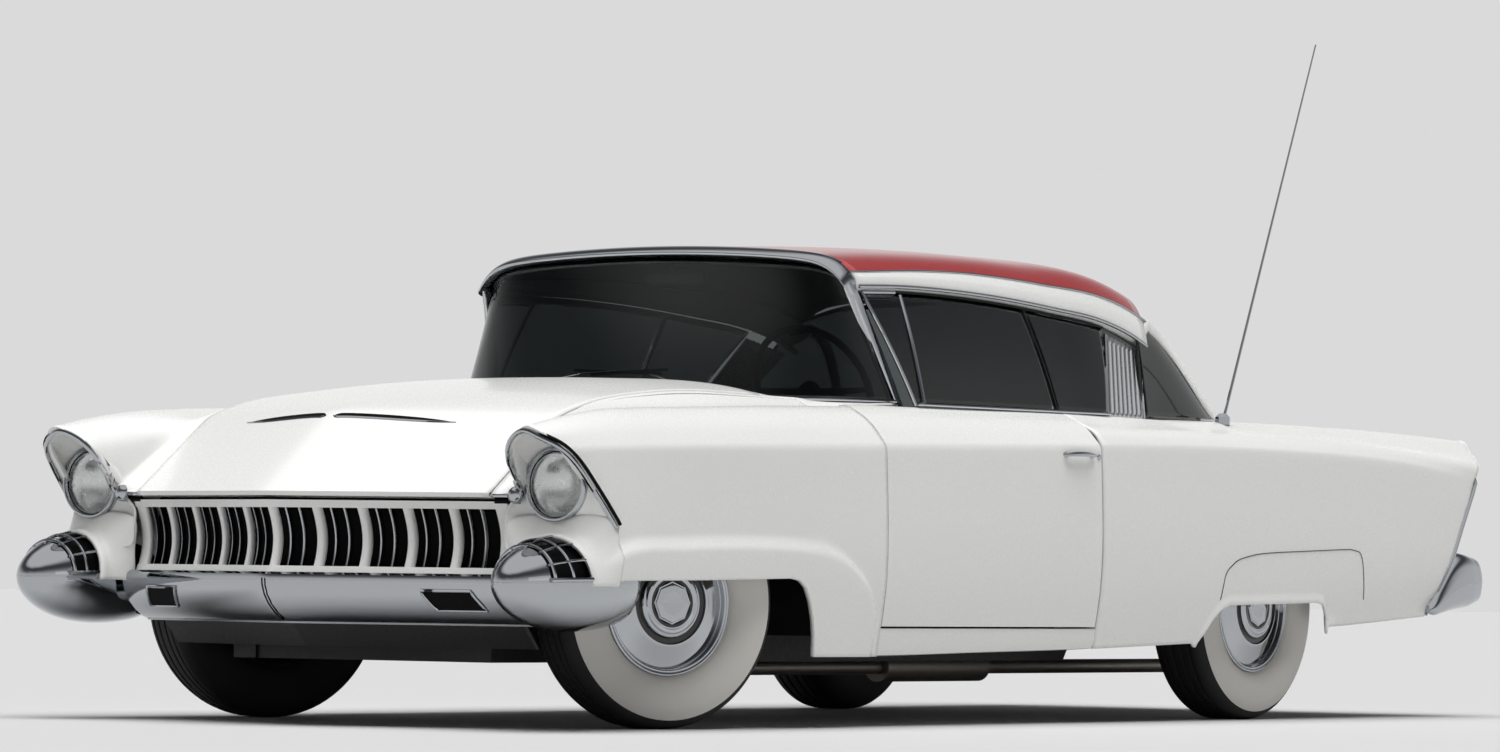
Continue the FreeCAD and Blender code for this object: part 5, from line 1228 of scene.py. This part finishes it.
# %% Door handles, lock buttons and the mirror
grip_x = np.linspace(.004, -.160, 25)
bow = np.sin(np.linspace(0, np.pi, 25))
grip = joined(grip_x, .962 + .014 * bow ** .35, .8035 + .003 * bow)
grip_size = .0065 + .0035 * bow ** .5
handle = [tube(grip, grip_size, 12, .75)]
for foot_at in (-.006, -.150):
    plate = joined(foot_at, [.950, .955, .959, .962, .964], .803)
    handle.append(tube(plate, [.014, .014, .012, .010, .006], 16, .8, (0, 0, 1)))
button = joined(-.190, [.952, .958, .962, .964], .800)
handle.append(tube(button, [.010, .010, .008, .003], 16, 1, (0, 0, 1)))
pair("door_handle", handle, [chrome], DOORS, slot="trim_chrome")
knob = joined(-.180, .795, .932 + np.array([0, .006, .012, .020, .024]))
pair("lock_knob", [tube(knob, [.005, .0035, .0045, .0045, .002], 12, up_hint=(1, 0, 0))], [chrome],
     DOORS, slot="trim_chrome")
mirror = [tube([(.700, 0, 1.395), (.690, 0, 1.360), (.672, 0, 1.335)], .006, 8, up_hint=(0, 1, 0))]
glass_y = np.linspace(-.105, .105, 15)
body_size = .030 * (1 - (glass_y / .107) ** 8) ** .5 + .001
mirror.append(tube(joined(.664, glass_y, 1.318), body_size, 16, .45, (1, 0, 0)))
make_piece("rear_view_mirror", mirror, [chrome], BODY, slot="trim_chrome")

# %% [markdown]
# ## Wheels and tyres
# A wheel is a profile turned about its own axle.  The tyre has a white band on
# its outer side and four grooves round its tread.  The cover is a stamping in
# steps: a bright outer ring, a groove, a wide dish, a dark ring and a cap with
# an eight-sided flat.

# %% Turning a profile about an axle
def turned(profile, centre, axle, count=96, finish_index=0, flats=0, start=0.0):
    """Turn (outward, radius) rows about an axle; with flats, the ring is an even polygon."""
    axle = np.array(axle, float) / np.linalg.norm(axle)
    ahead = np.cross((0, 0, 1.0), axle)
    ahead /= np.linalg.norm(ahead)
    upward = np.cross(axle, ahead)
    angle = start + np.linspace(0, 2 * np.pi, count, endpoint=False)
    reach = np.ones(count)
    if flats:
        wedge = 2 * np.pi / flats
        reach = math.cos(wedge / 2) / np.cos((angle % wedge) - wedge / 2)
    out, radius = np.asarray(profile, float).T
    spoke = (np.cos(angle) * reach)[:, None] * upward + (np.sin(angle) * reach)[:, None] * ahead
    grid = np.array(centre) + out[:, None, None] * axle + radius[:, None, None] * spoke
    return patch(grid, (False, True), None, finish_index)


def side_curve(rows, count):
    """A smooth (outward, radius) line through a few rows."""
    return glide([(k, *row) for k, row in enumerate(rows)], np.linspace(0, len(rows) - 1, count))


# Tyre, cover and rim: distance outward from the wheel's middle plane, and radius
white_side = side_curve([(.0745, .2045), (.086, .216), (.0955, .238), (.0995, .268), (.0985, .296),
                         (.0945, .316), (.0915, .327)], 26)
shoulder = side_curve([(.0915, .327), (.0895, .329), (.0860, .334), (.0780, .3420), (.0690, .3475)], 12)
tread = [(.0690, .3475), (.0620, .3500)]
for groove in (.046, .017, -.017, -.046):
    tread += [(groove + aside, radius) for aside, radius in (
        (.0060, .3518), (.0042, .3515), (.0030, .3465), (-.0030, .3465), (-.0042, .3515), (-.0060, .3518))]
tread += [(-.0620, .3500), (-.0690, .3475)]
inner_side = side_curve([(-.0690, .3475), (-.0860, .334), (-.0985, .296), (-.0995, .268), (-.0955, .238),
                         (-.086, .216), (-.0745, .2045)], 24)

cover = [(.0755, .2040), (.0790, .2025), (.0800, .1990), (.0785, .1955), (.0770, .1945), (.0800, .1930),
         (.0805, .1900), (.0790, .1870), (.0750, .1852), (.0700, .1845), (.0660, .1830), (.0650, .1810),
         (.0660, .1790)]
dish = side_curve([(.0660, .1790), (.0690, .1700), (.0745, .1550), (.0825, .1360), (.0890, .1220),
                   (.0905, .1165)], 22)
dark_ring = [(.0905, .1165), (.0880, .1150), (.0850, .1130), (.0845, .0990), (.0870, .0965)]
cap = [(.0870, .0965), (.0930, .0955), (.0950, .0930), (.0955, .0890), (.0975, .0860), (.1000, .0835),
       (.1005, .0790)]
crown = [(.1005, .0790), (.1000, .0740), (.0985, .0700), (.0985, .0685)]
face = [(.0985, .0560), (.1005, .0545), (.1010, .0520), (.1003, .0300), (.1000, .0)]
rim_back = [(.0755, .2040), (.060, .2030), (.055, .185), (.035, .180), (.030, .150), (.026, .060),
            (.022, .022)]
lip = [(.0755, .2040), (-.0720, .2035), (-.0740, .1990), (-.060, .186), (-.020, .180), (.020, .178)]

# The front wheels are steered by toe about a king pin that stands king_y from the middle; their middles
# lie hub_out beyond it.
wheel_places = {}
toe, king_y, hub_out, axle_z = math.radians(21), .627, .110, .352
for side, sign in (("left", 1), ("right", -1)):
    wheel_places["front_" + side] = (
        (1.722 + sign * hub_out * math.sin(toe), sign * (king_y + hub_out * math.cos(toe)), axle_z),
        (sign * math.sin(toe), sign * math.cos(toe), 0))
    wheel_places["rear_" + side] = ((-1.301, sign * .754, axle_z), (0, sign, 0))
for where, (centre, axle) in wheel_places.items():
    body = "wheel_" + where
    rubber_parts = [turned(line, centre, axle, finish_index=k)
                    for line, k in ((white_side, 1), (shoulder, 0), (tread, 0), (inner_side, 0))]
    make_piece("tyre_skin_" + where, rubber_parts, [rubber, white_rubber], body, ["tyre_" + where],
               slot="tyre_rubber", sharp=40)
    plate = [turned(line, centre, axle, finish_index=k) for line, k in (
        (cover, 0), (dish, 0), (dark_ring, 1), (cap, 0), (crown, 0), ([(.0985, .0685), (.0985, .0600)], 1))]
    plate.append(turned([(.0985, .0600)] + face, centre, axle, flats=8, start=math.pi / 8))
    make_piece("wheel_cover_" + where, plate, [chrome, plastic], body, ["wheel_" + where],
               slot="wheel_cover_chrome", sharp=30)
    rim_parts = [turned(rim_back, centre, axle, 64), turned(lip, centre, axle, 64)]
    make_piece("wheel_rim_" + where, rim_parts, [chassis_black], body, slot="chassis_black", wall=.003)

# %% [markdown]
# ## Tail
# The deck falls gently to a crowned trunk lid.  Between the fins a raked panel
# closes the body, long ruby lamps follow the raked tail edges in chrome rims,
# and a bumper in three pieces wraps both corners in deep pods.

# %% Rear deck and trunk lid
def deck_top(x, y):
    """The deck's surface: its line along the middle with a 14 mm crown across."""
    return deck_z(x) + .014 * (1 - (y / DECK_HALF) ** 2)


lid_y = np.linspace(-LID_HALF, LID_HALF, 61)
lid_x = np.linspace(-1.742, -2.470, 50)[:, None]
lid_top = joined(lid_x, lid_y, deck_top(lid_x, lid_y))
rim_turn = np.linspace(0, np.pi / 2, 6)[1:]
rolled = lid_top[-1] - .014 * joined(np.sin(rim_turn), 0, 1 - np.cos(rim_turn))[:, None]
lip_foot = joined(-2.484, lid_y, deck_top(-2.484, lid_y) - .031)
lid_top = np.concatenate([lid_top, rolled, lip_foot[None]])
make_piece("trunk_lid_skin", [patch(lid_top, facing=(0, 0, 1))], [white_enamel], "trunk_lid", ["trunk_lid"],
           slot="body_paint", wall=.012, sharp=50)
back_edge = np.interp(np.abs(lid_y), back_foot[50:, 1], back_foot[50:, 0])
deck_x = (back_edge - .006) + (-1.736 - back_edge + .006) * np.linspace(0, 1, 16)[:, None]
deck_grid = joined(deck_x, lid_y, deck_top(deck_x, lid_y))
shelf_y = np.linspace(-.56, .56, 31)
shelf_x = np.linspace(-1.0, -1.50, 16)[:, None]
shelf_grid = joined(shelf_x, shelf_y, .921)
make_piece("rear_deck_skin", [patch(deck_grid, facing=(0, 0, 1)),
                              patch(shelf_grid, facing=(0, 0, 1), finish_index=1)],
           [white_enamel, cloth], BODY, ["rear_deck"], slot="body_paint", wall=.008, sharp=50)

# %% Raked tail faces and lamps
tail_edge = quarter[-1]
inner_z = np.clip(tail_edge[:, 2], .336, .846)
inner_edge = joined(tail_x(inner_z) + .012, .607, inner_z)
across = np.linspace(0, 1, 25)[:, None, None]
tail_face = tail_edge + (inner_edge - tail_edge) * across
tail_face[..., 0] = tail_x(tail_face[..., 2]) + .012 * ease(across[..., 0] / .06)
panel_x = np.interp(inner_z, [.34, .843], [-2.424, -2.484])
wall_foot = joined(panel_x, .599, inner_z)
return_wall = inner_edge + (wall_foot - inner_edge) * np.linspace(0, 1, 5)[:, None, None]
lens_r, lens_a = np.linspace(0, 1, 12)[:, None], np.linspace(0, 2 * np.pi, 48, endpoint=False)
lens_y, lens_z = .800 + .072 * lens_r * np.cos(lens_a), .690 + .120 * lens_r * np.sin(lens_a)
lens = joined(tail_x(lens_z) + .010 - .020 * (1 - lens_r ** 2), lens_y, lens_z)
ring_line = np.concatenate([lens[-1], lens[-1, :1]]) - (.002, 0, 0)
pair("tail_lamp_face", [patch(tail_face, facing=(-1, 0, 0)), patch(return_wall, facing=(0, -1, 0))],
     [white_enamel], BOTH, ["tail_lamp"], slot="body_paint", wall=.004)
gutter_y = np.linspace(-LID_HALF, LID_HALF, 31)
gutter_lines = ((-2.458, deck_top(-2.458, gutter_y) - .038), (-2.450, .800), (-2.424, .420))
gutter = np.stack([joined(x, gutter_y, z) for x, z in gutter_lines])
make_piece("tail_gutter", [patch(gutter, facing=(-1, 0, 0))], [white_enamel], BODY, slot="body_paint",
           wall=.003)
pair("tail_lamp_lens", [patch(lens, (False, True), (-1, 0, 0))], [ruby], BOTH, slot="tail_lamp_plastic",
     wall=.004)
pair("tail_lamp_ring", [tube(ring_line, .0075, 8, up_hint=(1, 0, 0))], [chrome], BOTH, slot="trim_chrome")

# %% Tail edge strip and skirt seam
edge_z = np.linspace(.334, .812, 40)
edge_x = tail_x(edge_z) + .004
edge_y = side_out(edge_x, np.minimum(edge_z, .76)) + .001 - .9 * np.maximum(edge_z - .765, 0)
edge = joined(edge_x, edge_y, edge_z)
pair("tail_edge_strip", [tube(edge, .0062, 8, 1.3)], [chrome], BOTH, slot="trim_chrome")
seam = softened(np.array([[(-.905, .375), (-.922, .460), (-.990, .500), (-1.124, .521), (-1.676, .539),
                           (-1.752, .530), (-1.790, .380)]]), (.3, .3, .3, .05, .3), 6, 4)[0]
seam_line = joined(seam[:, 0], side_out(seam[:, 0], seam[:, 1]) + .0006, seam[:, 1])
pair("skirt_seam", [tube(seam_line, .0016, 6)], [plastic], BOTH, slot="chassis_black")

# %% Rear bumper
blade_y = np.linspace(-.735, .735, 61)
share = (blade_y / .69) ** 2
nose = -2.604 + .014 * share
half = .055 + .008 * share
blade = rounded_ring([(nose + dx, blade_y, .440 + k * half) for dx, k in (
    (.032, 1.0), (.004, .55), (.0, .30), (.0, -.30), (.006, -.60), (.036, -1.0), (.086, -.9), (.086, .9))],
                     (.35, .3, .3, .3, .3, .35, .3), 4, 1)
# x, then y inside and outside and z of foot and top
pod_rows = [(-2.6190, .800, .900, .430, .480), (-2.6100, .765, .920, .396, .506),
            (-2.590, .735, .936, .374, .522), (-2.540, .712, .948, .355, .534),
            (-2.450, .700, .956, .343, .538), (-2.380, .760, .957, .337, .505),
            (-2.310, .850, .955, .331, .435), (-2.262, .905, .951, .329, .385),
            (-2.238, .918, .944, .336, .362)]
pod_x = np.concatenate([np.linspace(-2.619, -2.590, 9)[:-1], np.linspace(-2.590, -2.238, 34)])
y_in, y_out, z_low, z_high = glide(pod_rows, pod_x).T
pod_corners = [
    (y_in, z_high - .3 * (z_high - z_low)), (y_in + .2 * (y_out - y_in), z_high),
    (y_out - .02, z_high - .004), (y_out, (z_low + z_high) / 2), (y_out - .014, z_low), (y_in, z_low + .01)]
pods = [closed_ends(rounded_ring([(pod_x, y, z) for y, z in pod_corners], (.4, .4, .45, .4, .4), 5, 1))]
make_piece("rear_bumper_skin", [closed_ends(blade)] + pods + other_side(pods), [chrome], BODY,
           ["rear_bumper"], slot="trim_chrome", sharp=50)

# %% [markdown]
# ## Cabin
# Two bench seats are pleated leather over springs: each pad is a closed,
# crowned form whose sewn channels run from front to back, and whose ends pull
# in.  The dashboard, wheel and trim panels are darker, so the cabin reads as
# one calm dark space behind the tinted glass.

# %% Bench seats
def bench_pad(name, outline, stands_for=(), half_width=.655, pleat=.088):
    """A pad: its side outline (x, z) swept across the car, pulled in at its ends, with sewn channels."""
    line = softened(np.array([outline + outline[:1]], float), (.35,) * (len(outline) - 1), 7, 3)[0][:-1]
    middle = line.mean(axis=0)
    y = half_width * np.sin(np.linspace(-np.pi / 2, np.pi / 2, 141))
    end = (1 - np.abs(y / half_width) ** 10).clip(0) ** .25
    size = .93 * end + .07
    channel = -.007 * (1 - np.abs(np.sin(np.pi * y / pleat)) ** .5) * (np.abs(y) < half_width - .07)
    reach = line - middle
    length = np.linalg.norm(reach, axis=1)[:, None]
    ring = middle + reach[None] * size[:, None, None] + channel[:, None, None] * (reach / length)[None]
    grid = joined(ring[..., 0], y[:, None], ring[..., 1])
    pad = make_piece(name, [closed_ends(grid)], [leather], BODY, stands_for, slot="seat_leather", sharp=60)


for name, stands_for, outline in (
    ("front_seat_cushion", ["front_seat"],
     [(.245, .474), (.250, .545), (.190, .568), (-.220, .548), (-.250, .474)]),
    ("front_seat_back", [], [(-.225, .520), (-.205, .600), (-.285, .925), (-.365, .920), (-.320, .540)]),
    ("rear_seat_cushion", ["rear_seat"],
     [(-.435, .474), (-.430, .545), (-.490, .568), (-.810, .545), (-.850, .474)]),
    ("rear_seat_back", [], [(-.825, .520), (-.805, .600), (-.865, .895), (-.950, .888), (-.900, .540)])):
    bench_pad(name, outline, stands_for)

# %% Steering wheel
lean = math.radians(25)
wheel_hub, wheel_axis = np.array([.470, .370, .985]), np.array([-math.cos(lean), 0, math.sin(lean)])
down = np.array([-math.sin(lean), 0, -math.cos(lean)])
turn_a = np.linspace(0, 2 * np.pi, 73)
RIM_R, HORN_R = .200, .112


def round_hub(angle, radius):
    """Points round the steering wheel's hub, in the wheel's plane."""
    return radius * (np.cos(angle)[:, None] * np.array([0, 1.0, 0]) + np.sin(angle)[:, None] * down)


rim_line = wheel_hub + round_hub(turn_a, RIM_R)
column_parts = [tube(rim_line, .0105, 12, 1.0, wheel_axis)]
for side in (1, -1):
    reach = np.linspace(.020, .196, 13)
    sunk = .018 * np.cos(reach / RIM_R * np.pi / 2)
    spoke = wheel_hub + reach[:, None] * np.array([0, side, 0]) - wheel_axis * sunk[:, None]
    column_parts.append(tube(spoke, np.linspace(.014, .008, 13), 10, .45, wheel_axis))
horn_a = np.linspace(.15 * np.pi, .85 * np.pi, 31)
horn = wheel_hub - wheel_axis * .004 + round_hub(horn_a, HORN_R)
column_parts.append(tube(horn, .004, 8, 1, wheel_axis, finish_index=1))
hub_line = [(-.030, 0), (-.028, .034), (-.018, .036), (-.006, .033), (.004, .024), (.008, .010), (.009, 0)]
column_parts.append(turned(hub_line, wheel_hub, wheel_axis, 40, 1))
make_piece("steering_wheel_skin", column_parts, [plastic, chrome], "steering_wheel", ["steering_wheel"],
           slot="steering_plastic", sharp=50)

# %% Dashboard
dash_y = np.linspace(-.728, .728, 49)
ahead = .90 - .22 * dash_y ** 2
dash = rounded_ring([(ahead + dx, dash_y, z) for dx, z in (
    (.0, .905), (-.120, .908), (-.195, .893), (-.213, .850), (-.190, .790), (-.160, .722), (.0, .702))],
                    (.4, .4, .4, .3, .4, .3), 5, 2)
column = wheel_hub - wheel_axis * np.array([.034, .10, .25, .40, .52])[:, None]
dash_parts = [closed_ends(dash), tube(column, [.026, .024, .023, .023, .023], 20, up_hint=(0, 1, 0))]
for dial_y, dial_size in ((.47, .048), (.37, .062), (.27, .048), (0, .055)):
    centre = (.900 - .22 * dial_y ** 2 - .207, dial_y, .842)
    bezel = [(-.010, dial_size + .004), (.006, dial_size + .003), (.009, dial_size),
             (.004, dial_size - .005)]
    dash_parts.append(turned(bezel, centre, (-1, 0, .25), 40, 1))
    dash_parts.append(turned([(.003, dial_size - .004), (.004, 0)], centre, (-1, 0, .25), 40, 2))
strip_line = joined(ahead - .203, dash_y, .785)
dash_parts.append(tube(strip_line[3:-3], .005, 8, finish_index=1))
make_piece("dashboard_skin", dash_parts, [dash_paint, chrome, plastic], BODY, ["dashboard"],
           slot="dash_paint", sharp=50)

# %% Door and quarter trim panels
panel_x = np.linspace(-.185, .905, 40)[:, None]
panel_z = np.array([.310, .330, .450, .600, .640, .660, .690, .710, .760, .860, .895, .905])
panel_y = np.interp(panel_z, [.31, .54, .60, .655, .69, .72, .78, .905],
                    [.817, .808, .804, .765, .765, .802, .800, .778])
trim_grid = joined(panel_x, panel_y, panel_z)
pair("door_trim", [patch(trim_grid, facing=(0, -1, 0))], [leather], DOORS, slot="seat_leather",
     wall=.004, sharp=50)
back_x = np.linspace(-.860, -.245, 24)[:, None]
back_z = np.linspace(.46, .90, 12)
pair("quarter_trim", [patch(joined(back_x, np.array(.770), back_z), facing=(0, -1, 0))],
     [leather], BOTH, slot="seat_leather", wall=.004)

# %% [markdown]
# ## Floor and light
# A plain pale floor and one wide soft light from above show a white car best:
# its upper surfaces are brightest, and its flanks fall off gently towards the
# ground.  The room is pale near the floor and darker overhead, which gives the
# bright work something to mirror; a soft bright patch straight above draws the
# lines of light along it.

# %% Floor
floor_finish, shader = finish("studio_floor", [("Base Color", linear("#C6C6C6")), ("Roughness", 0.85)])
floor_mesh = bpy.data.meshes.new("studio_floor")
floor_mesh.from_pydata([(-80, -80, 0), (80, -80, 0), (80, 80, 0), (-80, 80, 0)], [], [(0, 1, 2, 3)])
floor = bpy.data.objects.new("studio_floor", floor_mesh)
floor_mesh.materials.append(floor_finish)
scene.collection.objects.link(floor)

# %% Soft light
def lamp(name, kind, aim, **settings):
    """A lamp shining along a direction, with its own settings."""
    data = bpy.data.lights.new(name, kind)
    for key, value in settings.items():
        setattr(data, key, value)
    light = bpy.data.objects.new(name, data)
    scene.collection.objects.link(light)
    light.rotation_euler = Vector(aim).to_track_quat("-Z", "Y").to_euler()
    return light


overhead = lamp("wide_overhead", "SUN", (-.12, -.10, -1), energy=3.8, angle=math.radians(60))
overhead.visible_glossy = False
side_box = lamp("side_softbox", "AREA", (-.2, -1, -.25), shape="RECTANGLE", size=7.0, size_y=1.6, energy=9)
side_box.location = (1.5, 8.0, 2.2)

# %% Room
world = bpy.data.worlds.new("studio")
world.use_nodes = True
direction = add_node(world, "TexCoord")
height = add_node(world, "SeparateXYZ", links=[("Vector", direction, "Generated")])
shade = add_node(world, "MapRange", [("From Min", .10), ("From Max", .55),
                                     ("interpolation_type", "SMOOTHSTEP")],
                 [("Value", height, "Z")])
room = add_node(world, "Mix", [("data_type", "RGBA"), (6, linear("#DADADA")), (7, linear("#505155"))],
                [(0, shade, "Result")])
zenith = add_node(world, "MapRange", [("From Min", .62), ("From Max", .84),
                                      ("interpolation_type", "SMOOTHSTEP")],
                  [("Value", height, "Z")])
room = add_node(world, "Mix", [("data_type", "RGBA"), (7, linear("#E4E4E4"))],
                [(0, zenith, "Result"), (6, room, 2)])
ray = add_node(world, "LightPath")
seen = add_node(world, "Math", [("operation", "MAXIMUM")],
                [(0, ray, "Is Camera Ray"), (1, ray, "Is Glossy Ray")])
seen = add_node(world, "Math", [("operation", "MAXIMUM")],
                [(0, seen, "Value"), (1, ray, "Is Transmission Ray")])
strength = add_node(world, "MapRange", [("To Min", .31), ("To Max", 1.0)], [("Value", seen, "Value")])
background = world.node_tree.nodes["Background"]
world.node_tree.links.new(room.outputs[2], background.inputs["Color"])
world.node_tree.links.new(strength.outputs["Result"], background.inputs["Strength"])
scene.world = world
